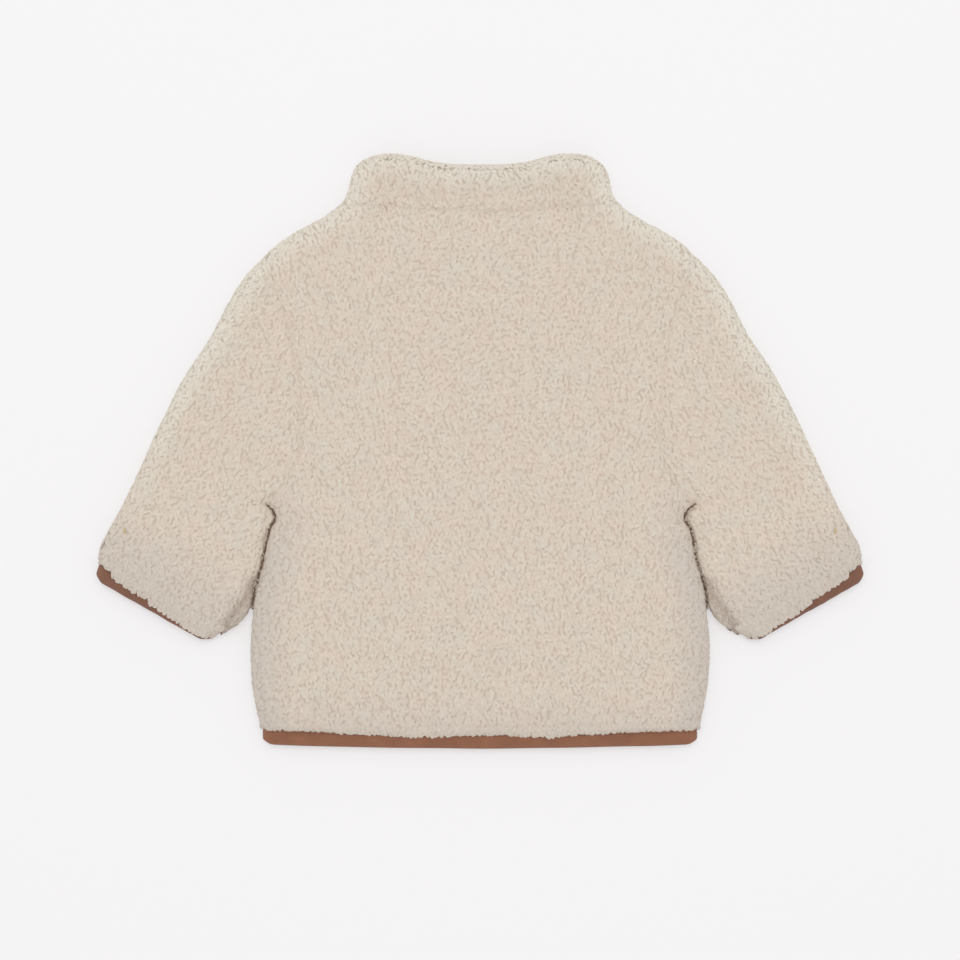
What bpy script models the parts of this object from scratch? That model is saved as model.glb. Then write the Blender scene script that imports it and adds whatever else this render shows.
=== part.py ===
"""A small child's sherpa jacket, laid flat on its front with the sleeves spread.

Metres, +Z up. X runs across the garment, +Y from the hem to the collar. The wearer's left is at -X,
because the jacket lies face down and shows its back. It rests on z = 0.

Every piece of cloth is a wall. The fronts lie on the surface and the back lies on the fronts, with a
little air between. A sleeve and the collar are flattened tubes: over the top, round a fold, and back
underneath. Tables and sizes are in millimetres, and build_mesh turns them into metres.
"""

import math

import bmesh
import bpy
import numpy as np

MM = 0.001
SAME_POINT = 0.02  # points closer than this are one point

# ---------------------------------------------------------------- driving sizes
CLOTH = 8.0  # thickness of one layer of sherpa, pile included
SEAM = 0.4  # gap between the two layers where they are sewn together
FACE_GAP = 0.3  # gap between two pieces that meet face to face
RIM = 0.8  # height of a layer's edge at a side seam
AIR = 1.0  # gap between the two layers away from the seams
CROWN = 2.2  # how much further the back lifts off the fronts in the middle
CROWN_REACH = 60.0  # distance from the outline at which the crown is full
ROLL_OVER = 15.0  # width of the rounding at a folded edge, on the upper side
ROLL_UNDER = 7.0  # the same, on the side that rests
ROLL_POWER = 2.2  # roundness of that rounding: 2 is an ellipse

END_SQUEEZE = 0.6  # share of its height that the cloth keeps where a binding grips it
SQUEEZE_REACH = 16.0  # distance over which it gets thinner
BINDING_DEPTH = 9.9  # finished width of the binding
BINDING_OUTER = 4.4  # thickness of one side of the bound edge
BINDING_WALL = 1.0  # thickness of the folded tape
BINDING_LIFT = 0.4  # gap between the two bound edges, one on the other
CORNER_WIDTH = 5.0  # length of the bound edge over which its end is rounded in plan
CORNER_CUT = 0.25  # share of the binding's depth that the rounding takes at its end
BINDING_STEP = 0.6  # gap between the pile's end and the binding
TONGUE = 1.8  # thickness of the cloth inside the binding
TONGUE_DEPTH = 7.4

OPENING = 4.5  # half the width of the front opening, where the zip shows
OPENING_ROLL = 4.0
ZIP_AIR = 1.5  # how much further the zip holds the back off the fronts
ZIP_AIR_REACH = 20.0
SEAM_DIP = 1.3  # how far the upper side sinks at a seam in the middle of the garment
SEAM_DIP_REACH = 5.0

HEM_SIDE = 144.1  # half the hem's width
HEM_AT_SIDE = -180.6
HEM_AT_CENTRE = -183.3
HEM_BINDING_HALF = 143.0

CAP_UNDERARM = (42.0, 22.0)  # pull of the sleeve's inner guide line at the underarm, and at the shoulder point
CAP_SHOULDER = (6.0, -50.0)

CUFF_CENTRE = (216.6, -103.5)
CUFF_ANGLE = math.radians(29.6)
CUFF_BINDING_HALF = 43.2
CUFF_PILE_INNER = -50.0  # ends of the pile along the cuff, from its centre
CUFF_PILE_OUTER = 46.5

# ---------------------------------------------------------------- outlines in plan
# One half of the garment. Columns: across from the centre line, along towards the collar.
COLLAR_SIDE = (
    (93.3, 162.4),  # side of the neck
    (88.9, 167.6),
    (86.3, 174.5),
    (84.8, 182.1),
    (82.4, 187.3),
    (78.3, 191.3),  # top corner
)
COLLAR_TOP_BACK = (
    (78.3, 191.3),
    (70.0, 194.6),
    (58.6, 195.9),
    (45.5, 194.4),
    (32.4, 190.8),
    (17.0, 188.7),
    (0.0, 188.4),
)
COLLAR_TOP_FRONT = ((78.3, 191.3), (66.0, 184.0), (45.0, 170.5), (22.0, 160.5), (OPENING, 157.5))
NECKLINE_BACK = ((93.3, 162.4), (80.0, 161.6), (61.9, 160.3), (30.0, 158.0), (0.0, 157.2))
NECKLINE_FRONT = ((93.3, 162.4), (80.0, 143.0), (58.0, 127.0), (30.0, 118.5), (OPENING, 116.5))
SHOULDER = ((93.3, 162.4), (102.5, 155.9), (119.5, 146.6), (133.3, 137.4), (142.3, 128.8))
SLEEVE_OUTER = (
    (142.3, 128.8),  # shoulder point
    (153.6, 117.2),
    (164.5, 101.0),
    (176.5, 77.3),
    (190.3, 57.0),
    (206.0, 28.2),
    (219.5, -1.0),
    (233.5, -30.8),
    (244.0, -50.4),
    (249.6, -61.2),
    (251.3, -70.4),  # where the pile ends at the cuff
)
SLEEVE_INNER = (
    (140.6, -33.4),  # underarm
    (137.2, -37.2),
    (135.0, -42.8),
    (138.4, -48.6),
    (140.3, -55.0),
    (141.7, -63.5),
    (143.4, -71.7),
    (146.3, -81.0),
    (148.7, -90.0),
    (150.2, -101.0),
    (156.5, -110.5),
    (167.4, -118.1),
)
TUCK_END = 4  # the row of the sleeve's inner edge at which the tuck below the underarm ends
TUCK_FADE = 12  # how fast the tuck dies out across the sleeve: a power of the share left
ARMHOLE = (
    (140.6, -33.4),
    (133.4, -26.6),
    (126.4, -17.5),
    (120.0, -5.9),
    (117.4, 15.1),
    (119.2, 47.8),
    (124.2, 77.3),
    (131.8, 102.2),
    (142.3, 128.8),
)
BODY_SIDE = (
    (HEM_SIDE, HEM_AT_SIDE),
    (147.6, -165.0),
    (150.4, -146.0),
    (151.0, -133.0),
    (150.4, -117.0),
    (148.9, -101.2),
    (147.4, -90.3),
    (145.1, -81.4),
    (142.2, -72.0),
    (140.5, -63.8),
    (139.1, -55.3),
    (137.2, -49.2),
    (133.7, -42.8),
    (136.3, -36.4),
    (140.6, -33.4),
)

# Soft folds of the upper side. Columns: path across and along, depth (troughs below 0), width, both halves.
FOLDS = (
    (((105.1, 67.5), (96.0, 15.0), (92.0, -43.9), (98.6, -89.7), (111.7, -122.5)), -1.9, 11.0, False),
    (((111.7, -122.5), (124.0, -134.0), (138.0, -143.5)), -1.5, 9.0, False),
    (((-96.6, 74.0), (-94.0, 34.7)), -1.4, 15.0, False),
    (((-143.0, -122.5), (-137.0, -140.0), (-127.4, -155.2)), -1.6, 9.0, False),
    (((-6.0, -57.0), (-2.0, -110.0), (1.6, -158.0)), -1.0, 13.0, False),
    (((-82.0, 12.0), (-88.0, -40.0), (-98.0, -96.0)), 0.5, 14.0, False),
    (((206.0, -55.0), (185.0, -67.0), (163.0, -70.0)), -1.3, 8.0, True),
    (((150.5, -88.0), (153.5, -95.0), (160.0, -102.0), (166.0, -114.0)), -3.2, 3.2, True),
    (((-61.0, 173.5), (0.0, 171.5), (61.0, 173.5)), -1.6, 9.0, False),
)

# ---------------------------------------------------------------- the zip, in the gap between the fronts
TAPE_EDGE = 14.0  # from the centre line to the tape's sewn edge
TAPE_LOW, TAPE_HIGH = 8.3, 9.1
CHAIN_HALF = 2.75
CHAIN_LOW = 5.8
CHAIN_MIDDLE = 0.15  # half the gap between the two chains
ZIP_BOTTOM, ZIP_TOP = HEM_AT_CENTRE + 4.6, 143.5
ZIP_ROWS = (ZIP_BOTTOM, *(ZIP_BOTTOM + rise for rise in (2.6, 6.6, 11.6, 18.6)), 0.0, ZIP_TOP)
BOX_HALF = 4.0
BOX_SPAN = (HEM_AT_CENTRE - 7.8, HEM_AT_CENTRE + 4.1)
BOX_HEIGHTS = (0.8, 4.2)
SLIDER_HALF = 3.9
SLIDER_SIDE = (
    # along and up: the outer plate, the post past the chain's end, the inner plate
    (135.0, 4.0),
    (136.5, 3.4),
    (148.0, 3.4),
    (149.0, 4.4),
    (149.0, 9.6),
    (148.0, 10.3),
    (138.0, 10.3),
    (138.0, 9.6),
    (145.0, 9.6),
    (145.0, 5.4),
    (135.0, 5.4),
)
PIVOT = (142.5, 2.5)  # along and up
ARCH_HALF = 0.8  # half the width of the arch that holds the pull
ARCH_REACH = 3.0  # from the pivot to the arch's outer face
ARCH_THICK = 1.0
ARCH_LOW = 0.6
PULL_HALF = 2.4
PULL_THICK = 1.0
PULL_HOLE_HALF = 1.15
PULL_HOLE_END = 3.4  # from the pivot to the far side of the hole
PULL_LENGTH = 23.0

# ---------------------------------------------------------------- colours of the cloth and the metal
SHERPA = ((0.643, 0.546, 0.455), 0.95, 0.0)
BINDING = ((0.266, 0.127, 0.078), 0.85, 0.0)
ZIP_TAPE = ((0.58, 0.47, 0.37), 0.8, 0.0)
ZIP_METAL = ((0.55, 0.47, 0.36), 0.35, 1.0)


# ---------------------------------------------------------------- curves
def smooth_curve(rows, samples=160):
    """Points close together on the smooth curve through the rows: a cubic on each chord, with the slope of its neighbours."""
    rows = np.array(rows, float)
    knots = np.concatenate([[0], np.cumsum(np.linalg.norm(np.diff(rows, axis=0), axis=1))])
    slopes = np.gradient(rows, knots, axis=0)
    at = np.linspace(0, knots[-1], samples)
    i = np.clip(np.searchsorted(knots, at, side="right") - 1, 0, len(knots) - 2)
    span = (knots[i + 1] - knots[i])[:, None]
    t = ((at - knots[i]) / span[:, 0])[:, None]
    return (
        rows[i] * (1 + 2 * t) * (1 - t) ** 2
        + slopes[i] * span * t * (1 - t) ** 2
        + rows[i + 1] * t**2 * (3 - 2 * t)
        + slopes[i + 1] * span * t**2 * (t - 1)
    )


def joined(*lines):
    """Lines laid end to end, with the points that they share kept once."""
    return np.concatenate([lines[0]] + [line[1:] for line in lines[1:]])


def points_at(line, shares):
    """The points at these shares of a line's length."""
    steps = np.linalg.norm(np.diff(line, axis=0), axis=1)
    along = np.concatenate([[0], np.cumsum(steps)]) / steps.sum()
    return np.stack([np.interp(shares, along, line[:, k]) for k in (0, 1)], axis=1)


def share_of_corner(first, whole):
    """The share of the whole line's length at which its first part ends."""
    return np.linalg.norm(np.diff(first, axis=0), axis=1).sum() / np.linalg.norm(np.diff(whole, axis=0), axis=1).sum()


def mirrored(line):
    """The same line on the wearer's other half."""
    return line * (-1, 1)


def beside(line, gap):
    """The line moved to its right by the gap."""
    heading = np.gradient(line, axis=0)
    heading /= np.linalg.norm(heading, axis=1)[:, None]
    return line + gap * np.stack([heading[:, 1], -heading[:, 0]], axis=1)


def starting_at(line, start):
    """The same line with its first point moved to start, and the others less and less."""
    steps = np.linalg.norm(np.diff(line, axis=0), axis=1)
    along = np.concatenate([[0], np.cumsum(steps)]) / steps.sum()
    return line + (1 - along)[:, None] * (np.array(start) - line[0])


def guide_line(start, start_pull, end, end_pull, samples=120):
    """A cubic between two points, pulled at each."""
    t = np.linspace(0, 1, samples)[:, None]
    a, b, c, d = np.array(start), np.add(start, start_pull), np.add(end, end_pull), np.array(end)
    return (1 - t) ** 3 * a + 3 * (1 - t) ** 2 * t * b + 3 * (1 - t) * t**2 * c + t**3 * d


def whole_line(half):
    """A line that starts at one side and ends on the centre line, carried on to the other side."""
    return joined(half, mirrored(half)[::-1])


def patch(bottom, top, left, right, across, along):
    """Points inside four edges, blended from them: a grid with a row for each share along and a column for each share across."""
    u = np.array(across)[None, :, None]
    v = np.array(along)[:, None, None]
    b, t = points_at(bottom, across)[None], points_at(top, across)[None]
    le, r = points_at(left, along)[:, None], points_at(right, along)[:, None]
    corners = (
        (1 - u) * (1 - v) * bottom[0] + u * (1 - v) * bottom[-1] + (1 - u) * v * top[0] + u * v * top[-1]
    )
    return (1 - v) * b + v * t + (1 - u) * le + u * r - corners


LINES = {
    "collar_side": smooth_curve(COLLAR_SIDE),
    "collar_top_back": smooth_curve(COLLAR_TOP_BACK),
    "collar_top_front": smooth_curve(COLLAR_TOP_FRONT),
    "neckline_back": smooth_curve(NECKLINE_BACK),
    "neckline_front": smooth_curve(NECKLINE_FRONT),
    "shoulder": smooth_curve(SHOULDER),
    "sleeve_outer": smooth_curve(SLEEVE_OUTER),
    "sleeve_inner": smooth_curve(SLEEVE_INNER),
    "sleeve_inner_plain": smooth_curve(SLEEVE_INNER[:1] + SLEEVE_INNER[TUCK_END:]),
    "armhole": smooth_curve(ARMHOLE),
    "body_side": smooth_curve(BODY_SIDE),
}
OUTER_FOLDS = ("collar_side", "shoulder", "sleeve_outer")
BODY_FOLDS = (*OUTER_FOLDS, "body_side")
SLEEVE_FOLDS = (*OUTER_FOLDS, "sleeve_inner")

CUFF_ACROSS = np.array((math.cos(CUFF_ANGLE), math.sin(CUFF_ANGLE)))
CUFF_OUT = np.array((math.sin(CUFF_ANGLE), -math.cos(CUFF_ANGLE)))
CUFF_BINDING_TOP = np.array(CUFF_CENTRE) - BINDING_DEPTH * CUFF_OUT
CUFF_PILE_END = CUFF_BINDING_TOP - BINDING_STEP * CUFF_OUT


# ---------------------------------------------------------------- heights
def distance(names, points):
    """How far each point is in plan from the nearest of the named lines, whichever half it is on."""
    p = np.abs(points[..., None, :] * (1, 0)) + points[..., None, :] * (0, 1)
    best = np.full(points.shape[:-1], np.inf)
    for name in names:
        line = LINES[name][::3] if len(LINES[name]) % 3 == 1 else LINES[name]
        start, step = line[:-1], np.diff(line, axis=0)
        t = np.clip(((p - start) * step).sum(-1) / (step * step).sum(-1), 0, 1)
        best = np.minimum(best, np.linalg.norm(p - start - t[..., None] * step, axis=-1).min(-1))
    return best


def rounded(share):
    """The height of a rounded edge, from 0 at its foot to 1, at this share of its width."""
    left = 1 - np.clip(share, 0, 1)
    return (1 - left**ROLL_POWER) ** (1 / ROLL_POWER)


def eased(share):
    """0 to 1 with a level start and end."""
    t = np.clip(share, 0, 1)
    return t * t * (3 - 2 * t)


def hem_along(across):
    """Where the pile ends at the hem, which bows a little."""
    return HEM_AT_CENTRE + (HEM_AT_SIDE - HEM_AT_CENTRE) * (np.abs(across) / HEM_SIDE) ** 2


def from_end(points, folds):
    """How far each point is from the bound end of the pile: the cuff on a sleeve, the hem elsewhere."""
    folded = np.stack([np.abs(points[..., 0]), points[..., 1]], axis=-1)
    if "sleeve_inner" in folds:
        return np.maximum((CUFF_PILE_END - folded) @ CUFF_OUT, 0)
    return np.maximum(points[..., 1] - hem_along(points[..., 0]), 0)


def squeeze(points, folds):
    """The share of its height that the cloth keeps, which falls towards a binding."""
    return END_SQUEEZE + (1 - END_SQUEEZE) * rounded(from_end(points, folds) / SQUEEZE_REACH)


def fold_height(points, least_width=0.0):
    """The height of the soft folds: a bell across each path, fading at its ends."""
    height = np.zeros(points.shape[:-1])
    for path, depth, width, both in FOLDS:
        if width < least_width:
            continue
        line = smooth_curve(path, 24)
        p = np.stack([np.abs(points[..., 0]), points[..., 1]], axis=-1) if both else points
        start, step = line[:-1], np.diff(line, axis=0)
        gap = p[..., None, :] - start
        t = np.clip((gap * step).sum(-1) / (step * step).sum(-1), 0, 1)
        away = np.linalg.norm(gap - t[..., None] * step, axis=-1).min(-1)
        height += depth * np.exp(-((away / width) ** 2))
    return height


def lift(points, folds):
    """The gap that the upper layer keeps above the lower one."""
    inside = np.minimum(distance(folds, points), from_end(points, folds))
    crown = CROWN * eased(inside / CROWN_REACH)
    zip_air = ZIP_AIR * np.exp(-((points[..., 0] / ZIP_AIR_REACH) ** 2))
    return AIR + crown + zip_air + fold_height(points, least_width=8.0) * eased(inside / 15)


def over(points, folds):
    """The outer side of the upper layer."""
    share = rounded(distance(folds, points) / ROLL_OVER)
    narrow = fold_height(points) - fold_height(points, least_width=8.0)
    dip = SEAM_DIP * np.exp(-((distance(("armhole", "neckline_back"), points) / SEAM_DIP_REACH) ** 2))
    height = CLOTH + SEAM + RIM + (CLOTH - RIM + lift(points, folds) + narrow - dip) * share
    return height * squeeze(points, folds)


def over_inside(points, folds):
    """The inner side of the upper layer."""
    open_share = eased((distance(folds, points) - 3) / 12)
    return (CLOTH + SEAM + lift(points, folds) * open_share) * squeeze(points, folds)


def under(points, folds):
    """The outer side of the lower layer, flat where it rests."""
    return (CLOTH - RIM) * (1 - rounded(distance(folds, points) / ROLL_UNDER)) * squeeze(points, folds)


def under_inside(points, folds):
    """The inner side of the lower layer."""
    return CLOTH * squeeze(points, folds)


def raised(points, height):
    """Plan points with their heights."""
    return np.concatenate([points, np.broadcast_to(height, points.shape[:-1])[..., None]], axis=-1)


# ---------------------------------------------------------------- meshes
def material(name, finish):
    """A plain finish: colour, roughness and metallic value."""
    colour, roughness, metallic = finish
    made = bpy.data.materials.get(name) or bpy.data.materials.new(name)
    made.use_nodes = True
    shader = made.node_tree.nodes["Principled BSDF"]
    shader.inputs["Base Color"].default_value = (*colour, 1)
    shader.inputs["Roughness"].default_value = roughness
    shader.inputs["Metallic"].default_value = metallic
    made.diffuse_color = (*colour, 1)
    return made


def build_mesh(name, points, faces, slot, finish, smooth=True, origin=(0.0, 0.0, 0.0)):
    """An object from points in millimetres, with its faces turned outwards and its own origin at the one given."""
    mesh = bpy.data.meshes.new(name)
    mesh.from_pydata(((np.asarray(points) - origin) * MM).tolist(), [], faces)
    shape = bmesh.new()
    shape.from_mesh(mesh)
    bmesh.ops.remove_doubles(shape, verts=shape.verts, dist=SAME_POINT * MM)
    bmesh.ops.recalc_face_normals(shape, faces=shape.faces)
    shape.to_mesh(mesh)
    shape.free()
    if smooth:
        mesh.shade_smooth()
        mesh.set_sharp_from_angle(angle=math.radians(55))
    mesh.materials.append(material(slot, finish))
    made = bpy.data.objects.new(name, mesh)
    made.location = np.array(origin) * MM
    bpy.context.scene.collection.objects.link(made)
    return made


def grid_faces(rows, columns, first=0, wrap=False):
    """Quads over a grid of points, wrapping round the columns if asked."""
    return [
        (
            first + i * columns + j,
            first + i * columns + (j + 1) % columns,
            first + (i + 1) * columns + (j + 1) % columns,
            first + (i + 1) * columns + j,
        )
        for i in range(rows - 1)
        for j in range(columns if wrap else columns - 1)
    ]


def wall(name, outer, inner, slot, finish, wrap=False):
    """A wall between two grids of points: both sides, its two end strips and, unless it wraps round, its two side strips."""
    rows, columns = outer.shape[:2]
    count = rows * columns
    faces = grid_faces(rows, columns, 0, wrap) + grid_faces(rows, columns, count, wrap)
    for i in (0, rows - 1):
        for j in range(columns if wrap else columns - 1):
            a, b = i * columns + j, i * columns + (j + 1) % columns
            faces.append((a, b, count + b, count + a))
    if not wrap:
        for j in (0, columns - 1):
            for i in range(rows - 1):
                a, b = i * columns + j, (i + 1) * columns + j
                faces.append((a, b, count + b, count + a))
    points = np.concatenate([outer.reshape(-1, 3), inner.reshape(-1, 3)])
    return build_mesh(name, points, faces, slot, finish)


# ---------------------------------------------------------------- bound edges
BOUND_HALF = BINDING_OUTER / 2
BOUND_TOP = BINDING_OUTER + BINDING_LIFT + BOUND_HALF  # height of the upper bound edge's middle
BOUND_MIDDLE = (BOUND_TOP + BOUND_HALF) / 2
BOUND_RADIUS = (BOUND_TOP - BOUND_HALF) / 2


def bound_path(half, across, upper):
    """The middle of a bound edge seen from its end: two level runs joined by half circles. Returns its points and its outward directions, as across and up."""
    reach = half - BOUND_HALF
    inward = np.clip(BOUND_RADIUS - (reach - np.abs(across)), 0, BOUND_RADIUS)
    rise = np.sqrt(BOUND_RADIUS**2 - inward**2)
    way = np.where(upper, 1.0, -1.0)
    points = np.stack([across, BOUND_MIDDLE + way * rise], axis=-1)
    outward = np.stack([np.sign(across) * inward, way * rise], axis=-1) / BOUND_RADIUS
    return points, outward


def depth_kept(across, half):
    """The share of its depth that a bound edge keeps, which falls towards its rounded ends."""
    past = np.clip((np.abs(across) - (half - BOUND_HALF - CORNER_WIDTH)) / CORNER_WIDTH, 0, 1)
    return 1 - CORNER_CUT * past**2


BINDING_SECTION = (
    # from the middle of the bound edge outwards, and down from the binding's upper edge
    (BOUND_HALF, 0.0),
    (BOUND_HALF, BINDING_DEPTH - 2.2),
    (BOUND_HALF * 0.7, BINDING_DEPTH - 0.6),
    (0.0, BINDING_DEPTH),
    (-BOUND_HALF * 0.7, BINDING_DEPTH - 0.6),
    (-BOUND_HALF, BINDING_DEPTH - 2.2),
    (-BOUND_HALF, 0.0),
    (BINDING_WALL - BOUND_HALF, 0.0),
    (BINDING_WALL - BOUND_HALF, BINDING_DEPTH - 2.0),
    (0.0, BINDING_DEPTH - 1.3),
    (BOUND_HALF - BINDING_WALL, BINDING_DEPTH - 2.0),
    (BOUND_HALF - BINDING_WALL, 0.0),
)


def binding(name, path, outward, kept, place, wrap):
    """The tape folded over an edge: its section carried along the path, with the share of its depth that is kept. place turns across, down and up into the garment's own axes."""
    rings = []
    for out, down in BINDING_SECTION:
        flat = path + out * outward
        rings.append(place(flat[:, 0], down * kept, flat[:, 1]))
    grid = np.stack(rings, axis=1)
    stations, section = grid.shape[:2]
    faces = grid_faces(stations, section, 0, True)
    if wrap:
        last = (stations - 1) * section
        faces += [
            (last + j, last + (j + 1) % section, (j + 1) % section, j) for j in range(section)
        ]
    else:
        half = section // 2
        for start in (0, (stations - 1) * section):
            # The end of the tape is a U, so it is closed by quads between its outer and inner line.
            faces += [
                (start + 0, start + 1, start + 10, start + 11),
                (start + 1, start + 2, start + 10),
                (start + 2, start + 3, start + 9, start + 10),
                (start + 3, start + 4, start + 8, start + 9),
                (start + 4, start + 5, start + 8),
                (start + 5, start + half, start + half + 1, start + 8),
            ]
    return build_mesh(name, grid.reshape(-1, 3), faces, "binding", BINDING)


def hem_place(across, down, up):
    """Across, down and up at the hem, in the garment's axes."""
    return np.stack([across, hem_along(across) - BINDING_STEP - down, up], axis=-1)


def cuff_place(side):
    """The same at a cuff, for the half on that side."""

    def place(across, down, up):
        flat = CUFF_BINDING_TOP + across[:, None] * CUFF_ACROSS + down[:, None] * CUFF_OUT
        return np.stack([side * flat[:, 0], flat[:, 1], up], axis=-1)

    return place


def tongue(grid_across, half, upper, place, thickness=TONGUE):
    """Two rows of points for the cloth inside a binding, on its outer and inner side."""
    path, outward = bound_path(half, grid_across, upper)
    kept = depth_kept(grid_across, half)
    rows = []
    for out in (thickness / 2, -thickness / 2):
        flat = path + out * outward
        rows.append(np.stack([place(flat[:, 0], down * kept, flat[:, 1]) for down in (FACE_GAP - BINDING_STEP, TONGUE_DEPTH)]))
    return rows


# ---------------------------------------------------------------- the pieces
EDGE_STEPS = (0.0, 1.2, 3.6, 8.0, 15.0)  # distances from a folded edge at which its rounding is drawn
INSIDE_STEPS = (6.5, 7.3, 8.8, 11.4, 15.0)  # the same on the inner side, which turns at the fold's wall
CAP_ROWS = (0.0, 0.1, 0.24, 0.45, 0.7, 1.0)  # rows between the armhole and the sleeve's inner guide line
HEM_STEPS = (0.0, 1.6, 5.0, 10.0, 17.0)
LEAST_STEP = 0.02  # least share of a line's length from the steps at its bound end to the next row


def shares_from_edges(length, first, last, between):
    """Shares of a length: steps close together at the ends that ask for them, and even ones between."""
    low = [d / length for d in first]
    high = [1 - d / length for d in reversed(last)]
    middle = np.linspace(low[-1], high[0], between + 2)[1:-1]
    return low + list(middle) + high


def length_of(line):
    return np.linalg.norm(np.diff(line, axis=0), axis=1).sum()


def arm_shares(steps=EDGE_STEPS):
    """Where the pieces meet along an armhole, as shares of its length."""
    return shares_from_edges(length_of(LINES["armhole"]), steps, steps, 4)


def neck_shares_back(steps=EDGE_STEPS):
    """Where the collar and the back meet along the neckline."""
    return shares_from_edges(length_of(whole_line(LINES["neckline_back"])), steps, steps, 5)


def neck_shares_front(steps=EDGE_STEPS):
    """Where the collar and a front meet along the neckline."""
    return shares_from_edges(length_of(LINES["neckline_front"]), steps, (0.0, 1.4, OPENING_ROLL), 4)


def rows_at_points(table, line):
    """Shares of a line's length: close together at its bound end, which comes first, then one at each point of its table."""
    steps = np.linalg.norm(np.diff(table, axis=0), axis=1)
    at_points = np.cumsum(steps) / steps.sum()
    low = [d / length_of(line) for d in HEM_STEPS]
    return low + [float(s) for s in at_points if s > low[-1] + LEAST_STEP]


def body_rows():
    """The shares at which a body panel has rows: close at the hem and the shoulder, with one at the underarm."""
    side, arm = LINES["body_side"], LINES["armhole"]
    corner = share_of_corner(side, joined(side, arm))
    return [s * corner for s in rows_at_points(BODY_SIDE, side)] + [corner + s * (1 - corner) for s in arm_shares()[1:]]


def shoulder_columns(neck_share):
    """Shares across the top of a half, from its side to the neck, close at the side."""
    return [s * neck_share for s in shares_from_edges(length_of(LINES["shoulder"]), EDGE_STEPS, (0.0,), 2)]


def make_back():
    """The back, cut in one piece from the hem to the neckline."""
    side = joined(LINES["body_side"], LINES["armhole"])
    half_top = joined(LINES["shoulder"][::-1], LINES["neckline_back"])
    top = whole_line(half_top)
    neck_share = share_of_corner(LINES["shoulder"], top)
    outer_columns = shoulder_columns(neck_share)
    neck_columns = [neck_share + s * (1 - 2 * neck_share) for s in neck_shares_back()[1:-1]]
    across = outer_columns + neck_columns + [1 - s for s in reversed(outer_columns)]
    hem_across = np.linspace(HEM_SIDE, -HEM_SIDE, 80)
    bottom = np.stack([hem_across, hem_along(hem_across)], axis=1)
    plan = patch(bottom, top, side, mirrored(side), across, body_rows())
    outer = raised(plan, over(plan, BODY_FOLDS))
    inner = raised(plan, over_inside(plan, BODY_FOLDS))
    straight = HEM_BINDING_HALF - BOUND_HALF - BOUND_RADIUS
    grip = np.clip(plan[0, :, 0], -straight, straight) + 0.01 * (plan[0, :, 0] - np.clip(plan[0, :, 0], -straight, straight))
    out_rows, in_rows = tongue(grip, HEM_BINDING_HALF, True, hem_place)
    outer = np.concatenate([out_rows[::-1], outer])
    inner = np.concatenate([in_rows[::-1], inner])
    return wall("back", outer, inner, "sherpa", SHERPA)


def make_front(name, way):
    """One front, from the side seam to the front opening. It lies on the surface."""
    side = joined(LINES["body_side"], LINES["armhole"])
    top = joined(LINES["shoulder"][::-1], LINES["neckline_front"])
    neck_share = share_of_corner(LINES["shoulder"], top)
    outer_columns = shoulder_columns(neck_share)
    across = outer_columns + [neck_share + s * (1 - neck_share) for s in neck_shares_front()[1:]]
    hem_across = np.linspace(HEM_SIDE, OPENING, 60)
    bottom = np.stack([hem_across, hem_along(hem_across)], axis=1)
    opening = np.linspace((OPENING, float(hem_along(OPENING))), (OPENING, NECKLINE_FRONT[-1][1]), 40)
    plan = patch(bottom, top, side, opening, across, body_rows())
    edge = 1.6 * (1 - rounded((plan[..., 0] - OPENING) / OPENING_ROLL)) * squeeze(plan, BODY_FOLDS)
    outer = raised(plan, np.maximum(under(plan, BODY_FOLDS), edge))
    inner = raised(plan, under_inside(plan, BODY_FOLDS))
    straight = HEM_BINDING_HALF - BOUND_HALF - BOUND_RADIUS
    beyond = np.maximum(plan[0, :, 0] - straight, 0)
    grip = plan[0, :, 0] - 0.99 * beyond
    out_rows, in_rows = tongue(grip, HEM_BINDING_HALF, False, hem_place)
    outer = np.concatenate([out_rows[::-1], outer]) * (way, 1, 1)
    inner = np.concatenate([in_rows[::-1], inner]) * (way, 1, 1)
    return wall(name, outer, inner, "sherpa", SHERPA)


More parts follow.
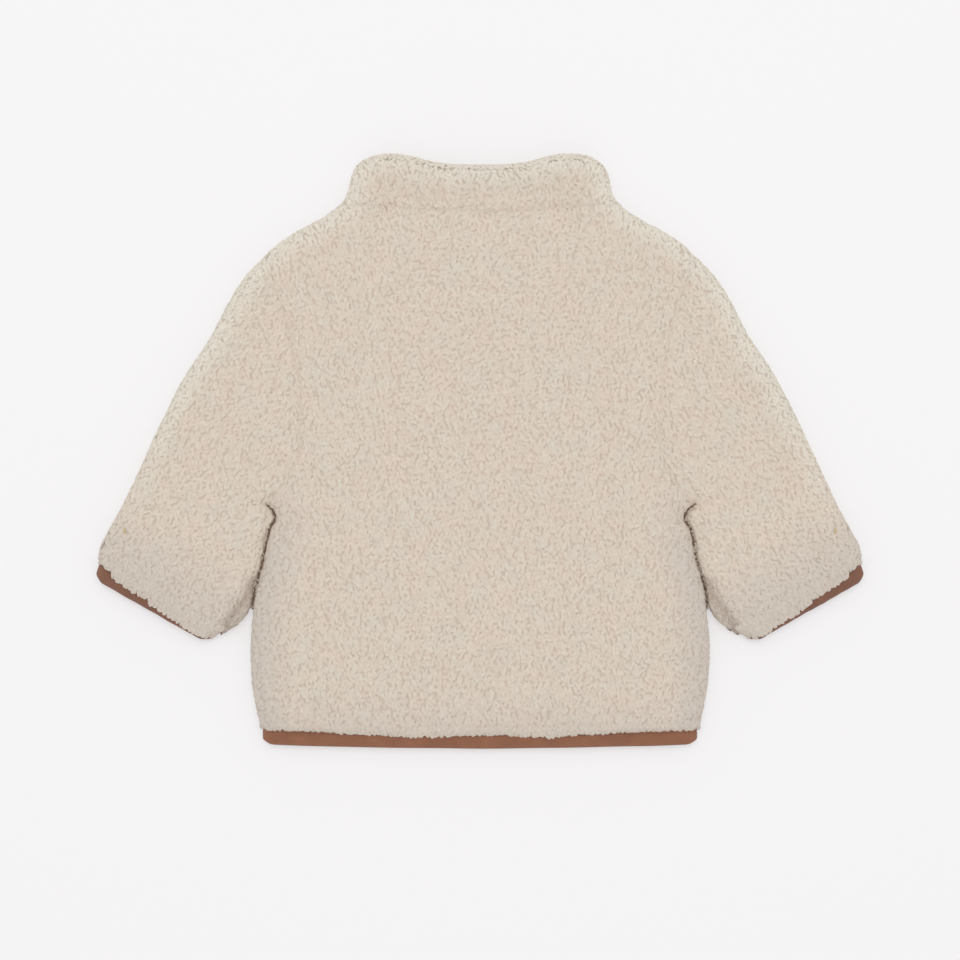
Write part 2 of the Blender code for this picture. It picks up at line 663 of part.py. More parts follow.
def make_sleeve(name, way):
    """A sleeve: one cut folded along its outer edge and sewn underneath, with its cap on the armhole."""
    cap = beside(LINES["armhole"], FACE_GAP)
    guide = guide_line(cap[0], CAP_UNDERARM, cap[-1], CAP_SHOULDER)
    inner_edge = starting_at(LINES["sleeve_inner"], cap[0])
    plain_edge = starting_at(LINES["sleeve_inner_plain"], cap[0])
    outer_edge = starting_at(LINES["sleeve_outer"], cap[-1])
    ends = np.array([[CUFF_PILE_INNER], [CUFF_PILE_OUTER]]) * CUFF_ACROSS + CUFF_PILE_END
    cuff = np.linspace(ends[0], ends[1], 60)
    down = [1 - s for s in reversed(rows_at_points(SLEEVE_INNER[::-1], inner_edge))]
    tuck = points_at(inner_edge, down) - points_at(plain_edge, down)

    def plan_of(across):
        rows = np.array(CAP_ROWS)[:, None, None]
        cap_part = (1 - rows) * points_at(cap, across) + rows * points_at(guide, across)
        fade = (1 - np.array(across)) ** TUCK_FADE
        arm = patch(guide, cuff, plain_edge, outer_edge, across, down) + fade[:, None] * tuck[:, None]
        return np.concatenate([cap_part, arm[1:]])

    plan, inside = plan_of(arm_shares()), plan_of(arm_shares(INSIDE_STEPS))
    above, below = raised(plan, over(plan, SLEEVE_FOLDS)), raised(plan, under(plan, SLEEVE_FOLDS))
    above_in = raised(inside, over_inside(inside, SLEEVE_FOLDS))
    below_in = raised(inside, under_inside(inside, SLEEVE_FOLDS))
    for edge in (0, -1):
        above[:, edge, 2] = (CLOTH + SEAM / 2) * squeeze(plan[:, edge], SLEEVE_FOLDS)
        above_in[:, edge, 2] = (CLOTH + SEAM / 2) * squeeze(inside[:, edge], SLEEVE_FOLDS)
    outer = np.concatenate([above, below[:, -2:0:-1]], axis=1)
    inner = np.concatenate([above_in, below_in[:, -2:0:-1]], axis=1)
    reach = CUFF_BINDING_HALF - BOUND_HALF
    grip = reach * (2 * np.array(arm_shares()) - 1)
    loop_across = np.concatenate([grip, grip[-2:0:-1]])
    upper = np.concatenate([np.ones(len(grip)), np.zeros(len(grip) - 2)]).astype(bool)
    out_rows, in_rows = tongue(loop_across, CUFF_BINDING_HALF, upper, cuff_place(1))
    outer = np.concatenate([outer, out_rows]) * (way, 1, 1)
    inner = np.concatenate([inner, in_rows]) * (way, 1, 1)
    return wall(name, outer, inner, "sherpa", SHERPA, wrap=True)


COLLAR_ROWS = (0.0, 0.12, 0.3, 0.55, 0.76, 0.9, 0.97, 1.0)  # shares of the collar's height
COLLAR_FULLNESS = (1, 1, 1, 1, 0.97, 0.85, 0.6, 0.25)  # share of the cloth's thickness left at each


def make_collar():
    """The stand collar: one band round the neck, open at the front, flattened so that its back lies on its front."""
    fullness = np.array(COLLAR_FULLNESS)[:, None]
    back_low = beside(whole_line(LINES["neckline_back"]), FACE_GAP)
    back_top = whole_line(LINES["collar_top_back"])
    front_low = beside(LINES["neckline_front"], FACE_GAP)
    front_top = LINES["collar_top_front"]
    opening = np.linspace(front_low[-1], front_top[-1], 20)
    back_side = starting_at(LINES["collar_side"], back_low[0])
    front_side = starting_at(LINES["collar_side"], front_low[0])

    def thinned(outside, inside):
        middle = (outside + inside) / 2
        return middle + (outside - middle) * fullness, middle + (inside - middle) * fullness

    def back_layer(steps):
        plan = patch(back_low, back_top, back_side, mirrored(back_side), neck_shares_back(steps), COLLAR_ROWS)
        return plan, thinned(over(plan, BODY_FOLDS), over_inside(plan, BODY_FOLDS))

    def front_layer(steps):
        plan = patch(front_low, front_top, front_side, opening, neck_shares_front(steps), COLLAR_ROWS)
        edge = 1.6 * (1 - rounded((plan[..., 0] - OPENING) / OPENING_ROLL))
        return plan, thinned(np.maximum(under(plan, BODY_FOLDS), edge), under_inside(plan, BODY_FOLDS))

    (back, back_heights), (back_in, back_in_heights) = back_layer(EDGE_STEPS), back_layer(INSIDE_STEPS)
    (front, front_heights), (front_in, front_in_heights) = front_layer(EDGE_STEPS), front_layer(INSIDE_STEPS)
    top_out, top_in = back_heights[0], back_in_heights[1]
    for heights in (top_out, top_in):
        heights[:, (0, -1)] = CLOTH + SEAM / 2
    low_out, low_in = raised(front, front_heights[0]), raised(front_in, front_in_heights[1])
    outer = np.concatenate([low_out[:, :0:-1], raised(back, top_out), low_out[:, 1:] * (-1, 1, 1)], axis=1)
    inner = np.concatenate([low_in[:, :0:-1], raised(back_in, top_in), low_in[:, 1:] * (-1, 1, 1)], axis=1)
    return wall("collar", outer, inner, "sherpa", SHERPA)


def make_hem_binding():
    """The tape over the lower edge: from one front edge, round the side, across the back and round to the other."""
    reach = HEM_BINDING_HALF - BOUND_HALF
    turn = [reach - d for d in (0.0, 0.35, 1.3, 2.4, 9.0)]
    run = list(np.linspace(turn[-1], OPENING + 0.3, 7)[1:])
    lower = np.array(run[::-1] + turn[::-1])
    upper = np.array(turn[1:] + list(np.linspace(turn[-1], -turn[-1], 14)[1:-1]) + [-x for x in reversed(turn[1:])])
    across = np.concatenate([lower, upper, -lower[::-1]])
    is_upper = np.concatenate([np.zeros(len(lower)), np.ones(len(upper)), np.zeros(len(lower))]).astype(bool)
    path, outward = bound_path(HEM_BINDING_HALF, across, is_upper)
    return binding("hem_binding", path, outward, depth_kept(across, HEM_BINDING_HALF), hem_place, wrap=False)


def make_cuff_binding(name, way):
    """The tape round the end of a sleeve, a closed loop."""
    reach = CUFF_BINDING_HALF - BOUND_HALF
    turn = [reach - d for d in (0.0, 0.35, 1.3, 2.4, 9.0)]
    row = np.array([-x for x in turn] + list(np.linspace(-turn[-1], turn[-1], 6)[1:-1]) + turn[::-1])
    across = np.concatenate([row, row[-2:0:-1]])
    is_upper = np.concatenate([np.ones(len(row)), np.zeros(len(row) - 2)]).astype(bool)
    path, outward = bound_path(CUFF_BINDING_HALF, across, is_upper)
    return binding(name, path, outward, depth_kept(across, CUFF_BINDING_HALF), cuff_place(way), wrap=True)


def extruded(name, rings, slot, finish, smooth=False):
    """A solid through rings of points, closed by a face at each end."""
    rings = np.asarray(rings)
    stations, count = rings.shape[:2]
    faces = grid_faces(stations, count, 0, True)
    last = (stations - 1) * count
    faces += [tuple(range(count)), tuple(last + j for j in range(count))]
    return build_mesh(name, rings.reshape(-1, 3), faces, slot, finish, smooth)


def make_zip_tape(name, way):
    """One side of the zip: the tape sewn behind the front's edge, with its row of teeth as a plain strip."""
    section = (
        (CHAIN_MIDDLE, CHAIN_LOW),
        (CHAIN_HALF, CHAIN_LOW),
        (CHAIN_HALF, TAPE_LOW),
        (TAPE_EDGE, TAPE_LOW),
        (TAPE_EDGE, TAPE_HIGH),
        (CHAIN_MIDDLE, TAPE_HIGH),
    )
    rings = []
    for along in ZIP_ROWS:
        kept = float(squeeze(np.array([0.0, along]), BODY_FOLDS))
        rings.append([(way * across, along, up * kept) for across, up in section])
    return extruded(name, rings, "zip_tape", ZIP_TAPE)


def make_zip_box():
    """The box that joins the zip's two ends at the hem."""
    low, high = BOX_HEIGHTS
    rings = []
    for along, inset in ((BOX_SPAN[0], 0.8), (BOX_SPAN[0] + 0.8, 0.0), (BOX_SPAN[1], 0.0)):
        half = BOX_HALF - inset
        rings.append([
            (-half, along, low + 0.6 + inset / 2), (-half + 0.8, along, low + inset / 2),
            (half - 0.8, along, low + inset / 2), (half, along, low + 0.6 + inset / 2),
            (half, along, high - inset / 2), (-half, along, high - inset / 2),
        ])
    return extruded("zip_box", rings, "zip_metal", ZIP_METAL)


def make_zip_slider():
    """The slider: two plates and a post from the side profile, with the arch for the pull on its outer plate."""
    base = 3.4
    first, last = PIVOT[0] - ARCH_REACH, PIVOT[0] + ARCH_REACH
    # Across the slider: edge, side of the arch, side of the arch, edge. The arch only stands on the middle strip.
    across = (-SLIDER_HALF, -ARCH_HALF, ARCH_HALF, SLIDER_HALF)
    plain = list(SLIDER_SIDE)
    start = plain.index((136.5, base)) + 1
    feet = [(first, base), (first + ARCH_THICK, base), (last - ARCH_THICK, base), (last, base)]
    side = plain[:start] + feet + plain[start:]
    count = len(side)
    low = [(first, ARCH_LOW + 0.4), (first + 0.5, ARCH_LOW), (last - 0.5, ARCH_LOW), (last, ARCH_LOW + 0.4)]
    under_bar = [(first + ARCH_THICK, ARCH_LOW + ARCH_THICK), (last - ARCH_THICK, ARCH_LOW + ARCH_THICK)]
    points = [(x, y, z) for x in across for y, z in side]
    faces = []
    foot = [start, start + 1, start + 2, start + 3]
    for strip in range(3):
        for j in range(count):
            k = (j + 1) % count
            if strip == 1 and j in (foot[0], foot[2]):
                continue  # the arch's feet stand here
            faces.append((strip * count + j, strip * count + k, (strip + 1) * count + k, (strip + 1) * count + j))
    faces += [tuple(range(count)), tuple(3 * count + j for j in range(count))]
    arch = []
    for x in (-ARCH_HALF, ARCH_HALF):
        arch.append(len(points))
        points += [(x, y, z) for y, z in low + under_bar]
    a, b = arch
    ring_a = [count + foot[0], a, a + 1, a + 2, a + 3, count + foot[3], count + foot[2], a + 5, a + 4, count + foot[1]]
    ring_b = [2 * count + foot[0], b, b + 1, b + 2, b + 3, 2 * count + foot[3], 2 * count + foot[2], b + 5, b + 4, 2 * count + foot[1]]
    for i in range(10):
        k = (i + 1) % 10
        pair = {i, k}
        if pair in ({5, 6}, {9, 0}):
            continue  # open to the slider's plate
        faces.append((ring_a[i], ring_a[k], ring_b[k], ring_b[i]))
    for ring in (ring_a, ring_b):
        faces += [
            (ring[0], ring[1], ring[8], ring[9]),
            (ring[1], ring[2], ring[8]),
            (ring[2], ring[3], ring[7], ring[8]),
            (ring[3], ring[4], ring[7]),
            (ring[4], ring[5], ring[6], ring[7]),
        ]
    return build_mesh("zip_slider", points, faces, "zip_metal", ZIP_METAL, smooth=False)


def make_zip_pull():
    """The pull: a flat tab whose eye goes round the slider's arch. It hangs towards the hem."""
    y0, z0 = PIVOT
    half, hole, thick = PULL_HALF, PULL_HOLE_HALF, PULL_THICK / 2
    outline = [
        (half, 0.0), (half, -PULL_HOLE_END), (half, -PULL_LENGTH + 2.0), (half - 0.9, -PULL_LENGTH + 0.5),
        (0.0, -PULL_LENGTH), (-half + 0.9, -PULL_LENGTH + 0.5), (-half, -PULL_LENGTH + 2.0),
        (-half, -PULL_HOLE_END), (-half, 0.0),
    ]
    inner = [(hole, -thick), (hole, -PULL_HOLE_END), (-hole, -PULL_HOLE_END), (-hole, -thick)]
    points = []
    for up in (thick, -thick):
        points += [(x, y0 + y, z0 + up) for x, y in outline]
        points += [(x, y0 + y, z0 + up) for x, y in inner]
    n, m = len(outline), len(outline) + len(inner)
    faces = []
    for base in (0, m):
        i = base + n
        faces += [
            (base + 0, i, i + 1, base + 1),
            (base + 1, i + 1, i + 2, base + 7),
            (base + 7, i + 2, i + 3, base + 8),
            (base + 1, base + 7, base + 6, base + 5, base + 4, base + 3, base + 2),
            (base + 8, i + 3, i, base + 0),
        ]
    for j in range(n - 1):
        faces.append((j, j + 1, m + j + 1, m + j))
    for j in range(3):
        faces.append((n + j, n + j + 1, m + n + j + 1, m + n + j))
    faces.append((n + 3, n, m + n, m + n + 3))
    # The rounded end past the pivot.
    turn = [math.radians(a) for a in (45, 0, -45)]
    first = len(points)
    for x in (half, -half):
        points += [(x, y0 + thick * math.cos(a), z0 + thick * math.sin(a)) for a in turn]
    right, left = first, first + 3
    faces += [
        (0, right, left, n - 1),
        (right, right + 1, left + 1, left),
        (right + 1, right + 2, left + 2, left + 1),
        (right + 2, m, m + n - 1, left + 2),
        (0, m, right + 2, right + 1, right),
        (n - 1, left, left + 1, left + 2, m + n - 1),
    ]
    return build_mesh("zip_pull", points, faces, "zip_metal", ZIP_METAL, smooth=False, origin=(0.0, *PIVOT))


# ---------------------------------------------------------------- the scene
def clear_scene():
    for old in list(bpy.data.objects):
        bpy.data.objects.remove(old)


def main():
    clear_scene()
    make_back()
    make_front("front_left", -1)
    make_front("front_right", 1)
    make_sleeve("sleeve_left", -1)
    make_sleeve("sleeve_right", 1)
    make_collar()
    make_hem_binding()
    make_cuff_binding("cuff_binding_left", -1)
    make_cuff_binding("cuff_binding_right", 1)
    make_zip_tape("zip_tape_left", -1)
    make_zip_tape("zip_tape_right", 1)
    make_zip_box()
    make_zip_slider()
    make_zip_pull()


main()
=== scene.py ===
"""The looks of a small child's sherpa jacket, laid flat on its front.

Metres in the frame, millimetres in the tables: MM turns one into the other. X runs across the garment,
+Y from the hem to the collar, +Z up. Each piece of cloth is a knitted base, a wall a little inside its
solid, and a pile of small curls that stands on it and reaches as far as the solid does.
"""

import math

import bmesh
import bpy
import numpy as np
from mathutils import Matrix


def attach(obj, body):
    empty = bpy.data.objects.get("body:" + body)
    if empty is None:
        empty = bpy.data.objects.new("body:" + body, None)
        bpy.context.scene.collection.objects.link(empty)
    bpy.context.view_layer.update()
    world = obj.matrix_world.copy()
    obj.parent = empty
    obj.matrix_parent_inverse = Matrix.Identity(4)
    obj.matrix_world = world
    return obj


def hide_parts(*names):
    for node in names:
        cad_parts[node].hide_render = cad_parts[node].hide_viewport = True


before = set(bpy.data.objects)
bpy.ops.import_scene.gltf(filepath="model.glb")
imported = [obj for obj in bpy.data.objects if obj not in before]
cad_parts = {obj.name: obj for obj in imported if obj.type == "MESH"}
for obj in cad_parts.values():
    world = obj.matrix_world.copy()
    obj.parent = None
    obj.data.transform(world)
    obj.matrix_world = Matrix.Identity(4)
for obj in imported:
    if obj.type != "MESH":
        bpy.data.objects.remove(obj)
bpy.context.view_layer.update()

MM = 0.001
SAME_POINT = 0.02  # points closer than this are one point

# ---------------------------------------------------------------- driving sizes
CLOTH = 8.0  # thickness of one layer of sherpa, pile included
SEAM = 0.4  # gap between the two layers where they are sewn together
FACE_GAP = 0.3  # gap between two pieces that meet face to face
RIM = 0.8  # height of a layer's edge at a side seam
AIR = 1.0  # gap between the two layers away from the seams
CROWN = 2.2  # how much further the back lifts off the fronts in the middle
CROWN_REACH = 60.0  # distance from the outline at which the crown is full
ROLL_OVER = 15.0  # width of the rounding at a folded edge, on the upper side
ROLL_UNDER = 7.0  # the same, on the side that rests
ROLL_POWER = 2.2  # roundness of that rounding: 2 is an ellipse

END_SQUEEZE = 0.6  # share of its height that the cloth keeps where a binding grips it
SQUEEZE_REACH = 16.0  # distance over which it gets thinner
BINDING_DEPTH = 9.9  # finished width of the binding
BINDING_OUTER = 4.4  # thickness of one side of the bound edge
BINDING_WALL = 1.0  # thickness of the folded tape
FOLD_WALL = 1.2  # the same at its fold
BINDING_LIFT = 0.4  # gap between the two bound edges, one on the other
CORNER_WIDTH = 5.0  # length of the bound edge over which its end is rounded in plan
CORNER_CUT = 0.25  # share of the binding's depth that the rounding takes at its end
BINDING_STEP = 0.6  # gap between the pile's end and the binding
TONGUE = 1.8  # thickness of the cloth inside the binding
TONGUE_DEPTH = 7.4
TUCKED = 0.01  # share of their distance that the hem's points keep past the end of its straight run

OPENING = 4.5  # half the width of the front opening, where the zip shows
OPENING_ROLL = 4.0
OPENING_RISE = 1.6  # how far the outer side turns up at the opening
ZIP_AIR = 1.5  # how much further the zip holds the back off the fronts
ZIP_AIR_REACH = 20.0
SEAM_DIP = 1.3  # how far the upper side sinks at a seam in the middle of the garment
SEAM_DIP_REACH = 5.0
# Folds of at least this width lift both sides of the upper layer, and narrower ones its outer side.
BROAD_FOLD = 8.0
FOLD_START = 15.0  # distance from the outline at which a broad fold has its full height

HEM_SIDE = 144.1  # half the hem's width
HEM_AT_SIDE = -180.6
HEM_AT_CENTRE = -183.3
HEM_BINDING_HALF = 143.0

# Pull of the sleeve's inner guide line at the underarm, and at the shoulder point.
CAP_UNDERARM = (42.0, 22.0)
CAP_SHOULDER = (6.0, -50.0)

CUFF_CENTRE = (216.6, -103.5)
CUFF_ANGLE = math.radians(29.6)
CUFF_BINDING_HALF = 43.2
CUFF_PILE_INNER = -50.0  # ends of the pile along the cuff, from its centre
CUFF_PILE_OUTER = 46.5

# ---------------------------------------------------------------- outlines in plan
# One half of the garment. Columns: across from the centre line, along towards the collar.
COLLAR_SIDE = (
    (93.3, 162.4),  # side of the neck
    (88.9, 167.6),
    (86.3, 174.5),
    (84.8, 182.1),
    (82.4, 187.3),
    (78.3, 191.3),  # top corner
)
COLLAR_TOP_BACK = (
    (78.3, 191.3),
    (70.0, 194.6),
    (58.6, 195.9),
    (45.5, 194.4),
    (32.4, 190.8),
    (17.0, 188.7),
    (0.0, 188.4),
)
COLLAR_TOP_FRONT = ((78.3, 191.3), (66.0, 184.0), (45.0, 170.5), (22.0, 160.5), (OPENING, 157.5))
NECKLINE_BACK = ((93.3, 162.4), (80.0, 161.6), (61.9, 160.3), (30.0, 158.0), (0.0, 157.2))
NECKLINE_FRONT = ((93.3, 162.4), (80.0, 143.0), (58.0, 127.0), (30.0, 118.5), (OPENING, 116.5))
SHOULDER = ((93.3, 162.4), (102.5, 155.9), (119.5, 146.6), (133.3, 137.4), (142.3, 128.8))
SLEEVE_OUTER = (
    (142.3, 128.8),  # shoulder point
    (153.6, 117.2),
    (164.5, 101.0),
    (176.5, 77.3),
    (190.3, 57.0),
    (206.0, 28.2),
    (219.5, -1.0),
    (233.5, -30.8),
    (244.0, -50.4),
    (249.6, -61.2),
    (251.3, -70.4),  # where the pile ends at the cuff
)
SLEEVE_INNER = (
    (140.6, -33.4),  # underarm
    (137.2, -37.2),
    (135.0, -42.8),
    (138.4, -48.6),
    (140.3, -55.0),
    (141.7, -63.5),
    (143.4, -71.7),
    (146.3, -81.0),
    (148.7, -90.0),
    (150.2, -101.0),
    (156.5, -110.5),
    (167.4, -118.1),
)
TUCK_END = 4  # the row of the sleeve's inner edge at which the tuck below the underarm ends
TUCK_FADE = 12  # how fast the tuck dies out across the sleeve: a power of the share left
ARMHOLE = (
    (140.6, -33.4),
    (133.4, -26.6),
    (126.4, -17.5),
    (120.0, -5.9),
    (117.4, 15.1),
    (119.2, 47.8),
    (124.2, 77.3),
    (131.8, 102.2),
    (142.3, 128.8),
)
BODY_SIDE = (
    (HEM_SIDE, HEM_AT_SIDE),
    (147.6, -165.0),
    (150.4, -146.0),
    (151.0, -133.0),
    (150.4, -117.0),
    (148.9, -101.2),
    (147.4, -90.3),
    (145.1, -81.4),
    (142.2, -72.0),
    (140.5, -63.8),
    (139.1, -55.3),
    (137.2, -49.2),
    (133.7, -42.8),
    (136.3, -36.4),
    (140.6, -33.4),
)

# Soft folds of the upper side. Columns: path across and along, depth (troughs below 0), width, both halves.
FOLDS = (
    (((105.1, 67.5), (96.0, 15.0), (92.0, -43.9), (98.6, -89.7), (111.7, -122.5)), -1.9, 11.0, False),
    (((111.7, -122.5), (124.0, -134.0), (138.0, -143.5)), -1.5, 9.0, False),
    (((-96.6, 74.0), (-94.0, 34.7)), -1.4, 15.0, False),
    (((-143.0, -122.5), (-137.0, -140.0), (-127.4, -155.2)), -1.6, 9.0, False),
    (((-6.0, -57.0), (-2.0, -110.0), (1.6, -158.0)), -1.0, 13.0, False),
    (((-82.0, 12.0), (-88.0, -40.0), (-98.0, -96.0)), 0.5, 14.0, False),
    (((206.0, -55.0), (185.0, -67.0), (163.0, -70.0)), -1.3, 8.0, True),
    (((150.5, -88.0), (153.5, -95.0), (160.0, -102.0), (166.0, -114.0)), -3.2, 3.2, True),
    (((-61.0, 173.5), (0.0, 171.5), (61.0, 173.5)), -1.6, 9.0, False),
)

# What the pile alone does beyond those folds, in the same columns.
PILE_FOLDS = (
    (((61.0, 190.0), (62.5, 175.0), (63.0, 161.0)), -1.1, 3.5, True),
    (((70.0, 190.0), (71.5, 176.0), (72.0, 163.0)), 0.5, 4.0, True),
    (((-52.0, 178.0), (0.0, 176.0), (52.0, 178.0)), -0.5, 8.0, False),
)
# Painted shade: where the pile is coloured darker and browner, for the shade in its hollows. Depth is the
# share of painted shade in the middle.
PAINTED_SHADE_BANDS = (
    (((149.0, -84.0), (152.0, -93.0), (158.0, -101.5), (165.0, -111.0), (168.0, -116.0)), 0.42, 4.0, True),
    (((0.0, 173.0), (54.0, 174.0)), 0.04, 14.0, True),
)

# ---------------------------------------------------------------- the zip, in the gap between the fronts
TAPE_EDGE = 14.0  # from the centre line to the tape's sewn edge
TAPE_LOW, TAPE_HIGH = 8.3, 9.1
CHAIN_HALF = 2.75
CHAIN_LOW = 5.8
ZIP_BOTTOM, ZIP_TOP = HEM_AT_CENTRE + 4.6, 143.5

# ---------------------------------------------------------------- curves
def length_of(line):
    """The length of a line of points."""
    return np.linalg.norm(np.diff(line, axis=0), axis=1).sum()


def lengths_along(line):
    """How far along a line each of its points is."""
    return np.concatenate([[0], np.cumsum(np.linalg.norm(np.diff(line, axis=0), axis=1))])


def shares_along(line):
    """The same as a share of its length."""
    return lengths_along(line) / length_of(line)


def smooth_curve(rows, samples=160):
    """Points close together on the smooth curve through the rows: a cubic on each chord, with the slope of
    its neighbours.
    """
    rows = np.array(rows, float)
    knots = lengths_along(rows)
    slopes = np.gradient(rows, knots, axis=0)
    at = np.linspace(0, knots[-1], samples)
    i = np.clip(np.searchsorted(knots, at, side="right") - 1, 0, len(knots) - 2)
    span = (knots[i + 1] - knots[i])[:, None]
    t = ((at - knots[i]) / span[:, 0])[:, None]
    return (
        rows[i] * (1 + 2 * t) * (1 - t) ** 2
        + slopes[i] * span * t * (1 - t) ** 2
        + rows[i + 1] * t**2 * (3 - 2 * t)
        + slopes[i + 1] * span * t**2 * (t - 1)
    )


def joined(*lines):
    """Lines laid end to end, with the points that they share kept once."""
    return np.concatenate([lines[0]] + [line[1:] for line in lines[1:]])


def points_at(line, shares):
    """The points at these shares of a line's length."""
    along = shares_along(line)
    return np.stack([np.interp(shares, along, line[:, k]) for k in (0, 1)], axis=1)


def share_of_corner(first, whole):
    """The share of the whole line's length at which its first part ends."""
    return length_of(first) / length_of(whole)


def mirrored(line):
    """The same line on the wearer's other half."""
    return line * (-1, 1)


def beside(line, gap):
    """The line moved to its right by the gap."""
    heading = np.gradient(line, axis=0)
    heading /= np.linalg.norm(heading, axis=1)[:, None]
    return line + gap * np.stack([heading[:, 1], -heading[:, 0]], axis=1)


def starting_at(line, start):
    """The same line with its first point moved to start, and the others less and less."""
    return line + (1 - shares_along(line))[:, None] * (np.array(start) - line[0])


def guide_line(start, start_pull, end, end_pull, samples=120):
    """A cubic between two points, pulled at each."""
    t = np.linspace(0, 1, samples)[:, None]
    a, b, c, d = np.array(start), np.add(start, start_pull), np.add(end, end_pull), np.array(end)
    return (1 - t) ** 3 * a + 3 * (1 - t) ** 2 * t * b + 3 * (1 - t) * t**2 * c + t**3 * d


def whole_line(half):
    """A line that starts at one side and ends on the centre line, carried on to the other side."""
    return joined(half, mirrored(half)[::-1])


def patch(bottom, top, left, right, across, along):
    """Points inside four edges, blended from them: a grid with a row for each share along and a column for
    each share across.
    """
    u = np.array(across)[None, :, None]
    v = np.array(along)[:, None, None]
    b, t = points_at(bottom, across)[None], points_at(top, across)[None]
    le, r = points_at(left, along)[:, None], points_at(right, along)[:, None]
    corners = (
        (1 - u) * (1 - v) * bottom[0] + u * (1 - v) * bottom[-1] + (1 - u) * v * top[0] + u * v * top[-1]
    )
    return (1 - v) * b + v * t + (1 - u) * le + u * r - corners


LINES = {
    "collar_side": smooth_curve(COLLAR_SIDE),
    "collar_top_back": smooth_curve(COLLAR_TOP_BACK),
    "collar_top_front": smooth_curve(COLLAR_TOP_FRONT),
    "neckline_back": smooth_curve(NECKLINE_BACK),
    "neckline_front": smooth_curve(NECKLINE_FRONT),
    "shoulder": smooth_curve(SHOULDER),
    "sleeve_outer": smooth_curve(SLEEVE_OUTER),
    "sleeve_inner": smooth_curve(SLEEVE_INNER),
    "sleeve_inner_plain": smooth_curve(SLEEVE_INNER[:1] + SLEEVE_INNER[TUCK_END:]),
    "armhole": smooth_curve(ARMHOLE),
    "body_side": smooth_curve(BODY_SIDE),
}
OUTER_FOLDS = ("collar_side", "shoulder", "sleeve_outer")
RIM_LINES = (*OUTER_FOLDS, "collar_top_back")
BODY_FOLDS = (*OUTER_FOLDS, "body_side")
SLEEVE_FOLDS = (*OUTER_FOLDS, "sleeve_inner")

CUFF_ACROSS = np.array((math.cos(CUFF_ANGLE), math.sin(CUFF_ANGLE)))
CUFF_OUT = np.array((math.sin(CUFF_ANGLE), -math.cos(CUFF_ANGLE)))
CUFF_BINDING_TOP = np.array(CUFF_CENTRE) - BINDING_DEPTH * CUFF_OUT
CUFF_PILE_END = CUFF_BINDING_TOP - BINDING_STEP * CUFF_OUT


# ---------------------------------------------------------------- heights
def folded(points):
    """The points in plan, brought to the positive half."""
    return np.stack([np.abs(points[..., 0]), points[..., 1]], axis=-1)


def bell(away, width):
    """1 where away is 0, falling to 1 / e at the width: e to the power of minus their ratio squared."""
    return np.exp(-((away / width) ** 2))


def distance(names, points):
    """How far each point is in plan from the nearest of the named lines, whichever half it is on."""
    p = folded(points)[..., None, :]
    best = np.full(points.shape[:-1], np.inf)
    for name in names:
        line = LINES[name][::3] if len(LINES[name]) % 3 == 1 else LINES[name]
        start, step = line[:-1], np.diff(line, axis=0)
        t = np.clip(((p - start) * step).sum(-1) / (step * step).sum(-1), 0, 1)
        best = np.minimum(best, np.linalg.norm(p - start - t[..., None] * step, axis=-1).min(-1))
    return best


def rounded(share):
    """The height of a rounded edge, from 0 at its foot to 1, at this share of its width."""
    left = 1 - np.clip(share, 0, 1)
    return (1 - left**ROLL_POWER) ** (1 / ROLL_POWER)


def eased(share):
    """0 to 1 with a level start and end."""
    t = np.clip(share, 0, 1)
    return t * t * (3 - 2 * t)


def hem_along(across):
    """Where the pile ends at the hem, which bows a little."""
    return HEM_AT_CENTRE + (HEM_AT_SIDE - HEM_AT_CENTRE) * (np.abs(across) / HEM_SIDE) ** 2


def from_end(points, folds):
    """How far each point is from the bound end of the pile: the cuff on a sleeve, the hem elsewhere."""
    if "sleeve_inner" in folds:
        return np.maximum((CUFF_PILE_END - folded(points)) @ CUFF_OUT, 0)
    return np.maximum(points[..., 1] - hem_along(points[..., 0]), 0)


def squeeze(points, folds):
    """The share of its height that the cloth keeps, which falls towards a binding."""
    return END_SQUEEZE + (1 - END_SQUEEZE) * rounded(from_end(points, folds) / SQUEEZE_REACH)


def fold_height(points, least_width=0.0, folds=FOLDS):
    """The height of the soft folds: a bell across each path, fading at its ends."""
    height = np.zeros(points.shape[:-1])
    for path, depth, width, both in folds:
        if width < least_width:
            continue
        line = smooth_curve(path, 24)
        p = folded(points) if both else points
        start, step = line[:-1], np.diff(line, axis=0)
        gap = p[..., None, :] - start
        t = np.clip((gap * step).sum(-1) / (step * step).sum(-1), 0, 1)
        away = np.linalg.norm(gap - t[..., None] * step, axis=-1).min(-1)
        height += depth * bell(away, width)
    return height


def lift(points, folds):
    """The gap that the upper layer keeps above the lower one."""
    inside = np.minimum(distance(folds, points), from_end(points, folds))
    crown = CROWN * eased(inside / CROWN_REACH)
    zip_air = ZIP_AIR * bell(points[..., 0], ZIP_AIR_REACH)
    return AIR + crown + zip_air + fold_height(points, BROAD_FOLD) * eased(inside / FOLD_START)


def over(points, folds):
    """The outer side of the upper layer."""
    share = rounded(distance(folds, points) / ROLL_OVER)
    narrow = fold_height(points) - fold_height(points, BROAD_FOLD)
    dip = SEAM_DIP * bell(distance(("armhole", "neckline_back"), points), SEAM_DIP_REACH)
    height = CLOTH + SEAM + RIM + (CLOTH - RIM + lift(points, folds) + narrow - dip) * share
    return height * squeeze(points, folds)


def over_inside(points, folds):
    """The inner side of the upper layer."""
    open_share = eased((distance(folds, points) - 3) / 12)
    return (CLOTH + SEAM + lift(points, folds) * open_share) * squeeze(points, folds)


def under(points, folds):
    """The outer side of the lower layer, flat where it rests."""
    return (CLOTH - RIM) * (1 - rounded(distance(folds, points) / ROLL_UNDER)) * squeeze(points, folds)


def open_edge(points):
    """How far the outer side of a front turns up towards the opening."""
    return OPENING_RISE * (1 - rounded((points[..., 0] - OPENING) / OPENING_ROLL))


